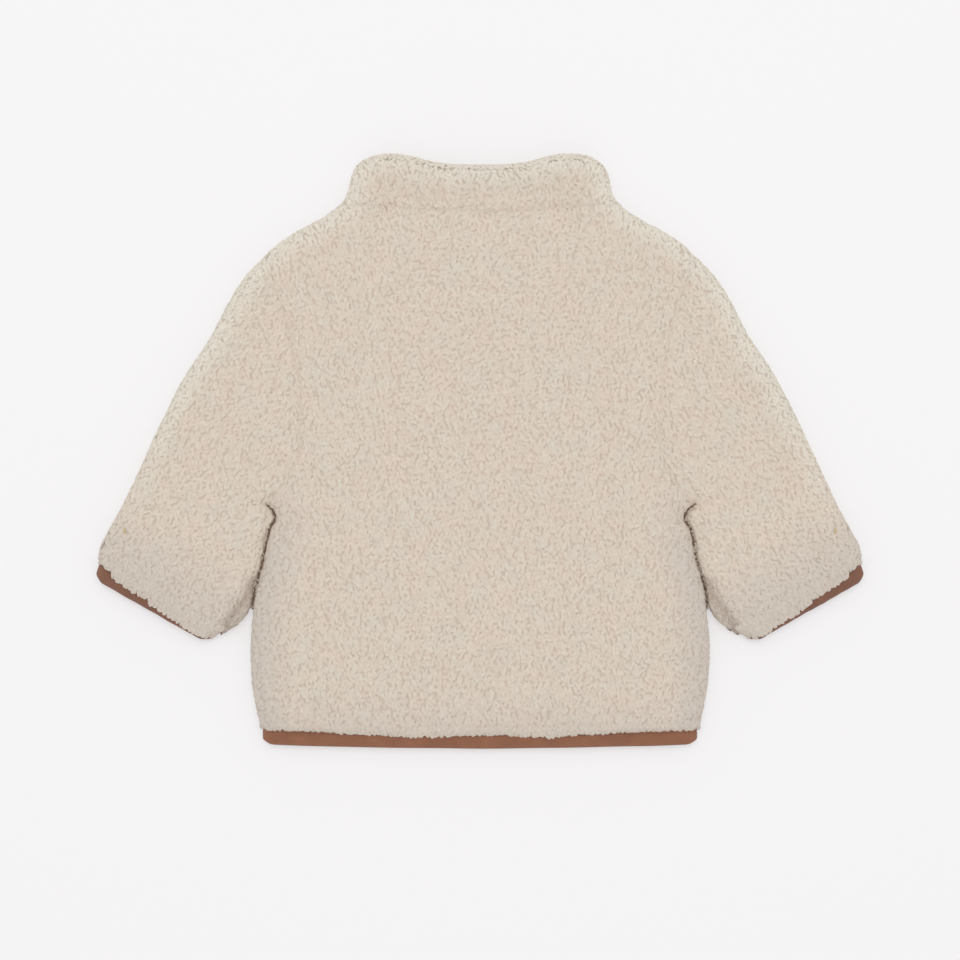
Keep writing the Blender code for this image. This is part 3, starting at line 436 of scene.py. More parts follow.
def under_inside(points, folds):
    """The inner side of the lower layer."""
    return CLOTH * squeeze(points, folds)


def raised(points, height):
    """Plan points with their heights."""
    return np.concatenate([points, np.broadcast_to(height, points.shape[:-1])[..., None]], axis=-1)


# ---------------------------------------------------------------- bound edges
BOUND_HALF = BINDING_OUTER / 2
BOUND_TOP = BINDING_OUTER + BINDING_LIFT + BOUND_HALF  # height of the upper bound edge's middle
BOUND_MIDDLE = (BOUND_TOP + BOUND_HALF) / 2
BOUND_RADIUS = (BOUND_TOP - BOUND_HALF) / 2


def bound_path(half, across, upper):
    """The middle of a bound edge seen from its end: two level runs joined by half circles. Returns its points
    and its outward directions, as across and up.
    """
    reach = half - BOUND_HALF
    inward = np.clip(BOUND_RADIUS - (reach - np.abs(across)), 0, BOUND_RADIUS)
    rise = np.sqrt(BOUND_RADIUS**2 - inward**2)
    way = np.where(upper, 1.0, -1.0)
    points = np.stack([across, BOUND_MIDDLE + way * rise], axis=-1)
    outward = np.stack([np.sign(across) * inward, way * rise], axis=-1) / BOUND_RADIUS
    return points, outward


def depth_kept(across, half):
    """The share of its depth that a bound edge keeps, which falls towards its rounded ends."""
    past = np.clip((np.abs(across) - (half - BOUND_HALF - CORNER_WIDTH)) / CORNER_WIDTH, 0, 1)
    return 1 - CORNER_CUT * past**2


def hem_place(across, down, up):
    """Across, down and up at the hem, in the garment's axes."""
    return np.stack([across, hem_along(across) - BINDING_STEP - down, up], axis=-1)


def cuff_place(side):
    """The same at a cuff, for the half on that side."""

    def place(across, down, up):
        flat = (
            CUFF_BINDING_TOP
            + np.asarray(across)[:, None] * CUFF_ACROSS
            + np.asarray(down)[..., None] * CUFF_OUT
        )
        return np.stack([side * flat[:, 0], flat[:, 1], up], axis=-1)

    return place


def tongue(grid_across, half, upper, place):
    """Two rows of points for the cloth inside a binding, on its outer and inner side."""
    path, outward = bound_path(half, grid_across, upper)
    kept = depth_kept(grid_across, half)
    depths = (FACE_GAP - BINDING_STEP, TONGUE_DEPTH)
    rows = []
    for out in (TONGUE / 2, -TONGUE / 2):
        flat = path + out * outward
        rows.append(np.stack([place(flat[:, 0], down * kept, flat[:, 1]) for down in depths]))
    return rows


EDGE_STEPS = (0.0, 1.2, 3.6, 8.0, 15.0)  # distances from a folded edge at which its rounding is drawn
INSIDE_STEPS = (6.5, 7.3, 8.8, 11.4, 15.0)  # the same on the inner side, which turns at the fold's wall
CAP_ROWS = (0.0, 0.1, 0.24, 0.45, 0.7, 1.0)  # rows between the armhole and the sleeve's inner guide line
HEM_STEPS = (0.0, 1.6, 5.0, 10.0, 17.0)
LEAST_STEP = 0.02  # least share of a line's length from the steps at its bound end to the next row


def shares_from_edges(length, first, last, between):
    """Shares of a length: steps close together at the ends that ask for them, and even ones between."""
    low = [d / length for d in first]
    high = [1 - d / length for d in reversed(last)]
    middle = np.linspace(low[-1], high[0], between + 2)[1:-1]
    return low + list(middle) + high


def arm_shares(steps=EDGE_STEPS):
    """Where the pieces meet along an armhole, as shares of its length."""
    return shares_from_edges(length_of(LINES["armhole"]), steps, steps, 4)


def neck_shares_back(steps=EDGE_STEPS):
    """Where the collar and the back meet along the neckline."""
    return shares_from_edges(length_of(whole_line(LINES["neckline_back"])), steps, steps, 5)


def neck_shares_front(steps=EDGE_STEPS):
    """Where the collar and a front meet along the neckline."""
    return shares_from_edges(length_of(LINES["neckline_front"]), steps, (0.0, 1.4, OPENING_ROLL), 4)


def rows_at_points(table, line):
    """Shares of a line's length: close together at its bound end, which comes first, then one at each point
    of its table.
    """
    low = [d / length_of(line) for d in HEM_STEPS]
    return low + [float(s) for s in shares_along(table)[1:] if s > low[-1] + LEAST_STEP]


def body_rows():
    """Shares at which a body panel has rows: close at the hem and the shoulder, and one at the underarm."""
    side, arm = LINES["body_side"], LINES["armhole"]
    corner = share_of_corner(side, joined(side, arm))
    return (
        [s * corner for s in rows_at_points(BODY_SIDE, side)]
        + [corner + s * (1 - corner) for s in arm_shares()[1:]]
    )


def shoulder_columns(neck_share):
    """Shares across the top of a half, from its side to the neck, close at the side."""
    return [s * neck_share for s in shares_from_edges(length_of(LINES["shoulder"]), EDGE_STEPS, (0.0,), 2)]


# ---------------------------------------------------------------- sizes of the pile and the trimmings
PILE = 1.4  # height of the curls above the knitted base
LEAST_WALL = 0.7  # the base's thickness where a layer runs out at a seam
CURL_GAP = 2.56  # distance between curls where they show
CURL_GAP_UNDER = 4.0  # the same on the side that rests
UNDER_SIZE = 1.45  # how much larger each curl is there
CURL_LENGTH = (4.1, 5.9)
CURL_WIDTH = (2.6, 3.6)
# How far curls turn from the way the pile lies, in degrees: in the middle near the collar, and elsewhere.
SPREAD = (42.0, 20.0)
# Painted light and shade: the next two set how far a colour goes from the darker painted shade at a curl's
# foot towards its lighter crest, at a curl's ends and on the base between the curls.
TIP_PAINTED_LIGHT = 0.62  # how light the ends of a curl are, between its foot and its crest
BASE_PAINTED_LIGHT = 0.55  # the same for the knitted base between the curls
TIP_TILT = 0.28  # how much its ends are shaded as turning down
FUZZ = 0.6  # how much the loose fibre evens out the light on a curl: 0 shades each as a smooth solid
GLOW = 0.5  # how much light the fibre lets through from above, so that an outline isn't dark
FLATNESS = 0.5  # height of a curl's section over its width
FRINGE_CLEAR = 0.7  # how far above the binding the locks end
FRINGE_START = -4.5  # where the overhanging locks start, from the binding's upper edge
FRINGE_GAP = 1.9
EDGE_INSET = 0.8  # how far inside the collar's top edge the curls along it stand
EDGE_DRAW = 1.3  # how far inside that edge the base's inner side ends
SLIT_POINTS = 10  # rows of the side seam and of the sleeve's inner edge that face each other across the gap
SLIT_HEIGHT = 6.6
FINER = 3  # each step of the solids' grids is cut into this many
FLOOR_GAP = 0.06  # how close the pile comes to the surface
# How much higher some of the curls pressed against it stay, so that they don't share a plane.
FLOOR_SPREAD = 0.2
RING_TILT = 0.08  # how much the light on a curl's two rings turns towards its ends
STRAND_SHIFT = 90  # how far the strands of one curl can start from another's in their pattern
LOCK_POINTS = 150  # points of the lines along which locks are laid
ARMHOLE_LOCKS = 120
NECK_LOCKS = 140
SEAM_ENDS = (0.03, 0.97)  # shares of a seam's length between which its locks lie
STITCH_PITCH = 3.0
STITCH_DOWN = 1.6  # from the binding's upper edge
TOOTH_PITCH = 2.2
THREAD_MARK = (231.8, -50.4)  # the small bar of thread near each cuff


# ---------------------------------------------------------------- grids
def finer(shares, times=FINER):
    """Shares of a length with each step cut into equal ones."""
    shares = np.asarray(shares, float)
    inner = shares[:-1, None] + np.diff(shares)[:, None] * (np.arange(times) / times)
    return np.append(inner.ravel(), shares[-1])


def unit(vectors):
    """Vectors of length 1, and 0 where there was none."""
    size = np.linalg.norm(vectors, axis=-1, keepdims=True)
    return np.divide(vectors, size, out=np.zeros_like(vectors), where=size > 1e-9)


def outward(grid, inside, wrap=False):
    """Unit normals of a grid of points: the cross product of its two slopes, turned away from the inside.
    Where rows meet in one point there is no slope, and the way out from the inside stands for it.
    """
    padded = np.concatenate([grid[:, -1:], grid, grid[:, :1]], axis=1) if wrap else grid
    across = np.gradient(padded, axis=1)
    if wrap:
        across = across[:, 1:-1]
    normal = unit(np.cross(across, np.gradient(grid, axis=0)))
    away = unit(grid - inside)
    if (normal * away).sum() < 0:
        normal = -normal
    lost = (normal * away).sum(-1) < 0.1
    normal[lost] = away[lost]
    return unit(normal)


def grid_quads(rows, columns, wrap=False):
    """Corner numbers of the quads over a grid of points."""
    i = np.arange(rows - 1)[:, None]
    j = np.arange(columns if wrap else columns - 1)[None]
    k = (j + 1) % columns
    low, high = i * columns, (i + 1) * columns
    corners = np.broadcast_arrays(low + j, low + k, high + k, high + j)
    return np.stack(corners, -1).reshape(-1, 4)


def wall_faces(rows, columns, wrap=False):
    """Quads of a wall between two grids: the outer one, the inner one turned round, and the strips that join
    their edges.
    """
    count = rows * columns
    outer = grid_quads(rows, columns, wrap)
    j = np.arange(columns if wrap else columns - 1)
    k = (j + 1) % columns
    last = (rows - 1) * columns
    parts = [
        outer,
        outer[:, ::-1] + count,
        np.stack([k, j, count + j, count + k], 1),
        np.stack([last + j, last + k, count + last + k, count + last + j], 1),
    ]
    if not wrap:
        a = np.arange(rows - 1) * columns
        b = a + columns
        c, d = a + columns - 1, b + columns - 1
        parts += [np.stack([a, b, count + b, count + a], 1), np.stack([d, c, count + c, count + d], 1)]
    return np.concatenate(parts)


def make_piece(
    name, points, faces, finish, slot, body="jacket", sharp=55.0, marks=None, weld=False, shading=None
):
    """An object from points in millimetres and arrays of faces, all turned round if they would enclose a
    negative volume. sharp is the angle in degrees above which an edge stays crisp, and 0 keeps them all.
    """
    points = np.asarray(points, float) * MM
    faces = [f for f in faces if len(f)]
    fans = np.concatenate([f[:, (0, k, k + 1)] for f in faces for k in range(1, f.shape[1] - 1)])
    a, b, c = (points[fans[:, k]] for k in range(3))
    if np.einsum("ij,ij->", a, np.cross(b, c)) < 0:
        faces = [f[:, ::-1] for f in faces]
    corners = np.concatenate([f.ravel() for f in faces])
    sizes = np.concatenate([np.full(len(f), f.shape[1]) for f in faces])
    mesh = bpy.data.meshes.new(name)
    mesh.vertices.add(len(points))
    mesh.vertices.foreach_set("co", points.astype(np.float32).ravel())
    mesh.loops.add(len(corners))
    mesh.loops.foreach_set("vertex_index", corners.astype(np.int32))
    mesh.polygons.add(len(sizes))
    mesh.polygons.foreach_set("loop_start", np.concatenate([[0], np.cumsum(sizes)[:-1]]).astype(np.int32))
    for mark, values in (marks or {}).items():
        kind, field = ("FLOAT_VECTOR", "vector") if values.ndim == 2 else ("FLOAT", "value")
        mesh.attributes.new(mark, kind, "POINT").data.foreach_set(field, values.astype(np.float32).ravel())
    mesh.update(calc_edges=True)
    if weld:
        shape = bmesh.new()
        shape.from_mesh(mesh)
        bmesh.ops.remove_doubles(shape, verts=shape.verts, dist=SAME_POINT * MM)
        bmesh.ops.recalc_face_normals(shape, faces=shape.faces)
        shape.to_mesh(mesh)
        shape.free()
    if sharp:
        mesh.shade_smooth()
        if sharp < 180:
            mesh.set_sharp_from_angle(angle=math.radians(sharp))
    if shading is not None:
        mesh.normals_split_custom_set_from_vertices(shading)
    mesh.materials.append(finish)
    piece = bpy.data.objects.new(name, mesh)
    bpy.context.scene.collection.objects.link(piece)
    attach(piece, body)
    return piece


# ---------------------------------------------------------------- the pieces' forms
def back_form():
    """Outer and inner points of the back: a blend of its four edges, raised by the heights of the upper
    layer. Also the points inside the binding, outer and inner.
    """
    side = joined(LINES["body_side"], LINES["armhole"])
    top = whole_line(joined(LINES["shoulder"][::-1], LINES["neckline_back"]))
    neck_share = share_of_corner(LINES["shoulder"], top)
    edge_columns = shoulder_columns(neck_share)
    neck = [neck_share + s * (1 - 2 * neck_share) for s in neck_shares_back()[1:-1]]
    across = finer(edge_columns + neck + [1 - s for s in reversed(edge_columns)])
    hem_across = np.linspace(HEM_SIDE, -HEM_SIDE, 200)
    bottom = np.stack([hem_across, hem_along(hem_across)], axis=1)
    plan = patch(bottom, top, side, mirrored(side), across, finer(body_rows()))
    straight = HEM_BINDING_HALF - BOUND_HALF - BOUND_RADIUS
    held = np.clip(plan[0, :, 0], -straight, straight)
    rows = tongue(held + TUCKED * (plan[0, :, 0] - held), HEM_BINDING_HALF, True, hem_place)
    return (
        raised(plan, over(plan, BODY_FOLDS)),
        raised(plan, over_inside(plan, BODY_FOLDS)),
        [r[::-1] for r in rows],
    )


def with_open_edge(outer, inner):
    """The two grids of a lower layer, with the outer one carried up its edge at the front opening (the last
    column). The inner one stops short of the pile there.
    """
    up = np.array((0.3, 0.65, 1.0))[:, None]
    edge = outer[:, -1:] + (inner[:, -1:] - outer[:, -1:]) * up
    inner = inner.copy()
    reach = np.abs(inner[:, -4:, 0])
    inner[:, -4:, 0] = np.sign(inner[:, -4:, 0]) * np.maximum(reach, OPENING + PILE + LEAST_WALL)
    return (
        np.concatenate([outer, edge], axis=1),
        np.concatenate([inner, np.repeat(inner[:, -1:], 3, axis=1)], axis=1),
    )


def front_form():
    """The same for one front, on the positive half. It is flat where it rests, and rolls up at its edges."""
    side = joined(LINES["body_side"], LINES["armhole"])
    top = joined(LINES["shoulder"][::-1], LINES["neckline_front"])
    neck_share = share_of_corner(LINES["shoulder"], top)
    across = finer(
        shoulder_columns(neck_share) + [neck_share + s * (1 - neck_share) for s in neck_shares_front()[1:]]
    )
    hem_across = np.linspace(HEM_SIDE, OPENING, 100)
    bottom = np.stack([hem_across, hem_along(hem_across)], axis=1)
    opening = np.linspace((OPENING, float(hem_along(OPENING))), (OPENING, NECKLINE_FRONT[-1][1]), 100)
    plan = patch(bottom, top, side, opening, across, finer(body_rows()))
    edge = open_edge(plan) * squeeze(plan, BODY_FOLDS)
    outer = raised(plan, np.maximum(under(plan, BODY_FOLDS), edge))
    outer, inner = with_open_edge(outer, raised(plan, under_inside(plan, BODY_FOLDS)))
    straight = HEM_BINDING_HALF - BOUND_HALF - BOUND_RADIUS
    held = outer[0, :, 0] - (1 - TUCKED) * np.maximum(outer[0, :, 0] - straight, 0)
    rows = tongue(np.maximum(held, OPENING + PILE), HEM_BINDING_HALF, False, hem_place)
    return outer, inner, [r[::-1] for r in rows]


def sleeve_form():
    """The same for a sleeve on the positive half, as loops: over the top, round the outer fold, back
    underneath.
    """
    cap = beside(LINES["armhole"], FACE_GAP)
    guide = guide_line(cap[0], CAP_UNDERARM, cap[-1], CAP_SHOULDER)
    inner_edge = starting_at(LINES["sleeve_inner"], cap[0])
    plain_edge = starting_at(LINES["sleeve_inner_plain"], cap[0])
    outer_edge = starting_at(LINES["sleeve_outer"], cap[-1])
    ends = np.array([[CUFF_PILE_INNER], [CUFF_PILE_OUTER]]) * CUFF_ACROSS + CUFF_PILE_END
    cuff = np.linspace(ends[0], ends[1], 60)
    down = finer([1 - s for s in reversed(rows_at_points(SLEEVE_INNER[::-1], inner_edge))])
    tuck = points_at(inner_edge, down) - points_at(plain_edge, down)

    def plan_of(across):
        """The cap, from the armhole to the guide line, then the arm, with a tuck that fades across it."""
        rows = finer(CAP_ROWS)[:, None, None]
        cap_part = (1 - rows) * points_at(cap, across) + rows * points_at(guide, across)
        fade = (1 - np.array(across)) ** TUCK_FADE
        arm = patch(guide, cuff, plain_edge, outer_edge, across, down) + fade[:, None] * tuck[:, None]
        return np.concatenate([cap_part, arm[1:]])

    shares = finer(arm_shares())
    plan, inside = plan_of(shares), plan_of(finer(arm_shares(INSIDE_STEPS)))
    above, below = raised(plan, over(plan, SLEEVE_FOLDS)), raised(plan, under(plan, SLEEVE_FOLDS))
    above_in = raised(inside, over_inside(inside, SLEEVE_FOLDS))
    below_in = raised(inside, under_inside(inside, SLEEVE_FOLDS))
    for edge in (0, -1):
        above[:, edge, 2] = (CLOTH + SEAM / 2) * squeeze(plan[:, edge], SLEEVE_FOLDS)
        above_in[:, edge, 2] = (CLOTH + SEAM / 2) * squeeze(inside[:, edge], SLEEVE_FOLDS)
    held = (CUFF_BINDING_HALF - BOUND_HALF) * (2 * shares - 1)
    loop = np.concatenate([held, held[-2:0:-1]])
    upper = np.arange(len(loop)) < len(held)
    return (
        np.concatenate([above, below[:, -2:0:-1]], axis=1),
        np.concatenate([above_in, below_in[:, -2:0:-1]], axis=1),
        tongue(loop, CUFF_BINDING_HALF, upper, cuff_place(1)),
    )


COLLAR_ROWS = (0.0, 0.12, 0.3, 0.55, 0.76, 0.9, 0.97, 1.0)  # shares of the collar's height


def collar_form():
    """The same for the collar: half its front, round a side fold, the back, and round to the other half. Its
    two sides come together at the top edge.
    """
    rows = finer(COLLAR_ROWS)
    left = np.clip((rows - 0.62) / 0.38, 0, 1) ** 3.6
    fullness = (0.25 + 0.75 * np.sqrt(1 - left))[:, None]
    back_low = beside(whole_line(LINES["neckline_back"]), FACE_GAP)
    back_top = whole_line(LINES["collar_top_back"])
    front_low = beside(LINES["neckline_front"], FACE_GAP)
    front_top = LINES["collar_top_front"]
    opening = np.linspace(front_low[-1], front_top[-1], 20)
    back_side = starting_at(LINES["collar_side"], back_low[0])
    front_side = starting_at(LINES["collar_side"], front_low[0])

    def thinned(outside, inside):
        """Both heights drawn towards their middle, as far as the fullness says."""
        middle = (outside + inside) / 2
        return middle + (outside - middle) * fullness, middle + (inside - middle) * fullness

    def back_layer(steps):
        """The back's plan, with these distances from a side fold, and its outer and inner heights."""
        plan = patch(back_low, back_top, back_side, mirrored(back_side), finer(neck_shares_back(steps)), rows)
        return plan, thinned(over(plan, BODY_FOLDS), over_inside(plan, BODY_FOLDS))

    def front_layer(steps):
        """The same for the front on the positive half."""
        plan = patch(front_low, front_top, front_side, opening, finer(neck_shares_front(steps)), rows)
        return (
            plan,
            thinned(np.maximum(under(plan, BODY_FOLDS), open_edge(plan)), under_inside(plan, BODY_FOLDS)),
        )

    (back, back_heights), (back_in, back_in_heights) = back_layer(EDGE_STEPS), back_layer(INSIDE_STEPS)
    (front, front_heights), (front_in, front_in_heights) = front_layer(EDGE_STEPS), front_layer(INSIDE_STEPS)
    top_out, top_in = back_heights[0], back_in_heights[1]
    for heights in (top_out, top_in):
        heights[:, (0, -1)] = CLOTH + SEAM / 2
    low_out, low_in = with_open_edge(raised(front, front_heights[0]), raised(front_in, front_in_heights[1]))
    return (
        np.concatenate([low_out[:, :0:-1], raised(back, top_out), low_out[:, 1:] * (-1, 1, 1)], axis=1),
        np.concatenate([low_in[:, :0:-1], raised(back_in, top_in), low_in[:, 1:] * (-1, 1, 1)], axis=1),
        None,
    )


# ---------------------------------------------------------------- pile
def ripple(points, lengths, seed):
    """A smooth, uneven field from -1 to 1 over the points: a few waves of these lengths, each in its own
    direction.
    """
    rng = np.random.default_rng(seed)
    field = np.zeros(points.shape[:-1])
    for length in lengths:
        way = unit(rng.normal(size=points.shape[-1]))
        field += np.sin(points @ way * (2 * math.pi / length) + rng.uniform(0, 2 * math.pi))
    return field / len(lengths)


def scattered(grid, normals, quads, gap, rng):
    """Points spread evenly over quads of a grid, about a gap apart: many random ones in proportion to area,
    then, for each small cube of space that they fall in, the one nearest its middle. The cubes stand askew,
    so that no rows show. Returns the points and their normals.
    """
    p, n = grid.reshape(-1, 3), normals.reshape(-1, 3)
    diagonals = (p[quads[:, 2]] - p[quads[:, 0]], p[quads[:, 3]] - p[quads[:, 1]])
    size = 0.5 * np.linalg.norm(np.cross(*diagonals), axis=1)
    picks = rng.choice(len(quads), size=int(7 * size.sum() / gap**2), p=size / size.sum())
    u, v = rng.uniform(size=(2, len(picks), 1))
    shares = ((1 - u) * (1 - v), u * (1 - v), u * v, (1 - u) * v)
    spots = sum(s * p[quads[picks, c]] for c, s in enumerate(shares))
    ways = unit(sum(s * n[quads[picks, c]] for c, s in enumerate(shares)))
    askew = np.linalg.qr(np.random.default_rng(3).normal(size=(3, 3)))[0]
    place = spots @ askew / gap + 1024
    cell = np.floor(place).astype(np.int64)
    nearest = np.argsort(np.linalg.norm(place - cell - 0.5, axis=1))
    _, first = np.unique(cell[nearest] @ np.array((1, 4096, 4096 * 4096)), return_index=True)
    return spots[nearest[first]], ways[nearest[first]]


def curls(name, roots, normals, flow, sizes, sides, finish, slot, rng, straight=False, painted_shade=0.0, free=False):
    """Small arched curls of yarn. Each is a bent spindle: it leaves the base at one end, bulges over and goes
    back in at the other, along its flow. Its rings lie across the flow. sizes are its length, width and
    height. Each curl's share of painted shade darkens it to a brownish colour where the pile lies low. A free
    one is seen from all sides and is shaded as it is.
    """
    count = len(roots)
    length, width, height = sizes
    ahead = unit(flow - (flow * normals).sum(-1, keepdims=True) * normals)
    aside = np.cross(normals, ahead)
    # Four stations: one end, two rings and the other end. Along and lean are shares of the length, arch of
    # the height.
    along = np.array((-0.5, -0.22, 0.22, 0.5))
    arch = np.array((-0.25, 0.9, 1.0, -0.2))
    lean = (0 if straight else 1) * rng.uniform(-0.3, 0.3, size=(count, 1)) * np.array((0.0, 0.3, 1.0, 1.6))
    centre = (
        roots[:, None]
        + (length[:, None] * along)[..., None] * ahead[:, None]
        + (height[:, None] * arch)[..., None] * normals[:, None]
        + (length[:, None] * lean)[..., None] * aside[:, None]
    )
    turn = np.radians(np.interp(np.linspace(0, 1, sides), (0, 1 / 3, 2 / 3, 1), (-28, 64, 116, 208)))
    ring = np.cos(turn)[:, None] * aside[:, None] + FLATNESS * np.sin(turn)[:, None] * normals[:, None]
    rings = centre[:, 1:3, None] + (width[:, None] / 2 * (1.0, 0.95))[..., None, None] * ring[:, None]
    points = np.concatenate([centre[:, :1], rings.reshape(count, -1, 3), centre[:, 3:]], axis=1)
    own = rng.uniform(size=(count, 1))
    points[..., 2] = np.maximum(points[..., 2], FLOOR_GAP + FLOOR_SPREAD * own)
    k = np.arange(sides)
    m = (k + 1) % sides
    tip = 1 + 2 * sides
    fans = np.concatenate(
        [np.stack([0 * k, 1 + m, 1 + k], 1), np.stack([tip + 0 * k, 1 + sides + k, 1 + sides + m], 1)]
    )
    bands = np.stack([1 + k, 1 + m, 1 + sides + m, 1 + sides + k], 1)
    first = np.arange(count)[:, None, None] * (tip + 1)
    # Painted light and shade: each curl's colour is lightest along its crest and darker down its sides and at
    # its ends, for the shade that its neighbours cast on it.
    lit = 1 - 0.8 * np.abs(np.cos(turn)) ** 1.3
    rise = np.concatenate([[TIP_PAINTED_LIGHT], lit, lit, [TIP_PAINTED_LIGHT]])
    # Painted highlight: a paler, slightly greener cream within 20 mm of the outline, for the light that falls
    # on it from above, weaker towards the hem.
    near = (
        (1 - eased((distance(RIM_LINES, roots[:, :2]) - 2) / 18)) * np.clip((roots[:, 1] + 60) / 90, 0.15, 1)
    )
    side_way = np.concatenate([[0], np.tile(np.cos(turn), 2), [0]]) * width[:, None] / 2
    long_way = np.repeat(along, (1, sides, sides, 1)) * length[:, None]
    own_start = np.broadcast_to(STRAND_SHIFT * own, side_way.shape)
    strand = np.stack([side_way, long_way, own_start], axis=-1)
    marks = {
        "tone": np.repeat(own, tip + 1),
        "rise": np.tile(rise, count),
        "rim": np.repeat(near, tip + 1),
        "painted_low_shade": np.repeat(painted_low_shade_share(roots, "sleeve" in name), tip + 1),
        "painted_shade": np.repeat(np.broadcast_to(painted_shade, count), tip + 1),
        "strand": strand.reshape(-1, 3) * MM,
    }
    faces = [(first + fans).reshape(-1, 3), (first + bands).reshape(-1, 4)]
    round_ring = 0.5 * np.cos(turn)[:, None] * aside[:, None] + np.sin(turn)[:, None] * normals[:, None]
    tip_way = ((TIP_TILT + 0.8 * (1 - np.clip(np.abs(normals[:, 2:]), 0, 1))) * ahead)[:, None]
    facing = np.concatenate(
        [-tip_way, round_ring - RING_TILT * ahead[:, None], round_ring + RING_TILT * ahead[:, None], tip_way],
        axis=1,
    )
    from_above = GLOW * np.clip(normals[:, 2:] + 0.4, 0, 1) * (0, 0, 1)
    loose = (1 - np.broadcast_to(painted_shade, count))[:, None]
    shading = unit(facing + (loose * (FUZZ * normals + from_above))[:, None]).reshape(-1, 3)
    return make_piece(
        name, points.reshape(-1, 3), faces, finish, slot, sharp=180, marks=marks,
        shading=None if free else shading,
    )


def nearest_on(line, points):
    """For each point in plan, on either half: its distance from a line and the line's heading there."""
    gaps = np.linalg.norm(folded(points)[:, None] - line[None], axis=2)
    at = gaps.argmin(axis=1)
    heading = unit(np.gradient(line, axis=0))[at]
    return gaps.min(axis=1), heading * np.stack([np.sign(points[:, 0]), np.ones(len(points))], axis=1)


def above_neck(points):
    """How far each point is above the neckline of the back, and whether it is beside it at all."""
    line = LINES["neckline_back"][::-1]
    return (
        points[..., 1] - np.interp(np.abs(points[..., 0]), line[:, 0], line[:, 1]),
        np.abs(points[..., 0]) < line[-1, 0],
    )


def pile_relief(points):
    """How far the pile rises or sinks on the upper side: a parting with a soft ridge on each side along an
    armhole, a trough just above the neck seam and a ridge below it, and the pile's own folds.
    """
    away = distance(("armhole",), points)
    above, beside_neck = above_neck(points)
    neck = 0.5 * bell(above + 1.8, 2.2) - 0.8 * bell(above - 1.4, 1.8)
    return (
        0.4 * bell(away - 4.2, 2.0)
        - 0.6 * bell(away, 1.5)
        + np.where(beside_neck, neck, 0)
        + fold_height(points, folds=PILE_FOLDS)
    )


def painted_shade_share(roots):
    """How much painted shade darkens the pile to a brownish colour: in the partings of the seams, and where
    it turns under or lies low in a hollow.
    """
    points = roots[:, :2]
    above, beside_neck = above_neck(points)
    above = above + ripple(points, (15.0, 23.0, 37.0), 9) - 0.8
    seam = (
        0.05 * bell(distance(("armhole",), points), 1.3) + np.where(beside_neck, 0.13 * bell(above, 1.1), 0)
    )
    return np.clip(seam + fold_height(points, folds=PAINTED_SHADE_BANDS), 0, 1)


def painted_low_shade_share(roots, on_sleeve):
    """How much painted shade greys the pile: towards the cuffs on a sleeve, and at the body's sides towards
    the hem and a little along it.
    """
    points = roots[:, :2]
    if on_sleeve:
        return 0.75 * (1 - eased((from_end(points, SLEEVE_FOLDS) - 12) / 36))
    side = (1 - eased((distance(("body_side",), points) - 5) / 26)) * np.clip((-10 - points[:, 1]) / 60, 0, 1)
    hem = 0.45 * (1 - eased(from_end(points, BODY_FOLDS) / 34))
    return np.maximum(side, hem)


def pile_flow(roots, way, rng):
    """The way each curl lies: along the given way, turned by a random angle and by a slow swirl over the
    cloth, less at the sides and towards the hem, and along an armhole seam close to it.
    """
    settled = np.maximum(
        np.clip((np.abs(roots[:, 0]) - 15) / 55, 0, 1), np.clip((90 - roots[:, 1]) / 120, 0, 1)
    )
    angle = (
        math.atan2(way[1], way[0])
        + np.radians(SPREAD[0] + (SPREAD[1] - SPREAD[0]) * settled) * rng.normal(size=len(roots))
    )
    angle = angle + (0.5 - 0.25 * settled) * ripple(roots, (34.0, 57.0, 81.0), 5)
    flow = np.stack([np.cos(angle), np.sin(angle), np.zeros(len(roots))], axis=1)
    away, heading = nearest_on(LINES["armhole"], roots)
    heading = -heading * np.sign(heading[:, 1:])
    flow[:, :2] += 2.5 * bell(away, 3.0)[:, None] * heading
    return flow + 0.15 * rng.normal(size=(len(roots), 3))


def drawn_back(roots, flow, length, table, place_of, way):
    """The roots near a bound end moved back up the cloth, so that the tips of their curls end where the pile
    does: at the overhang over the binding.
    """
    across, past_end = place_of(roots)
    overhang = np.interp(across, *np.array(table).T)
    past = 0.45 * length * np.abs(flow[:, :2] @ way) + past_end - overhang
    back = np.maximum(past, 0)[:, None]
    return roots + back * (-way[0], -way[1], 0.3)


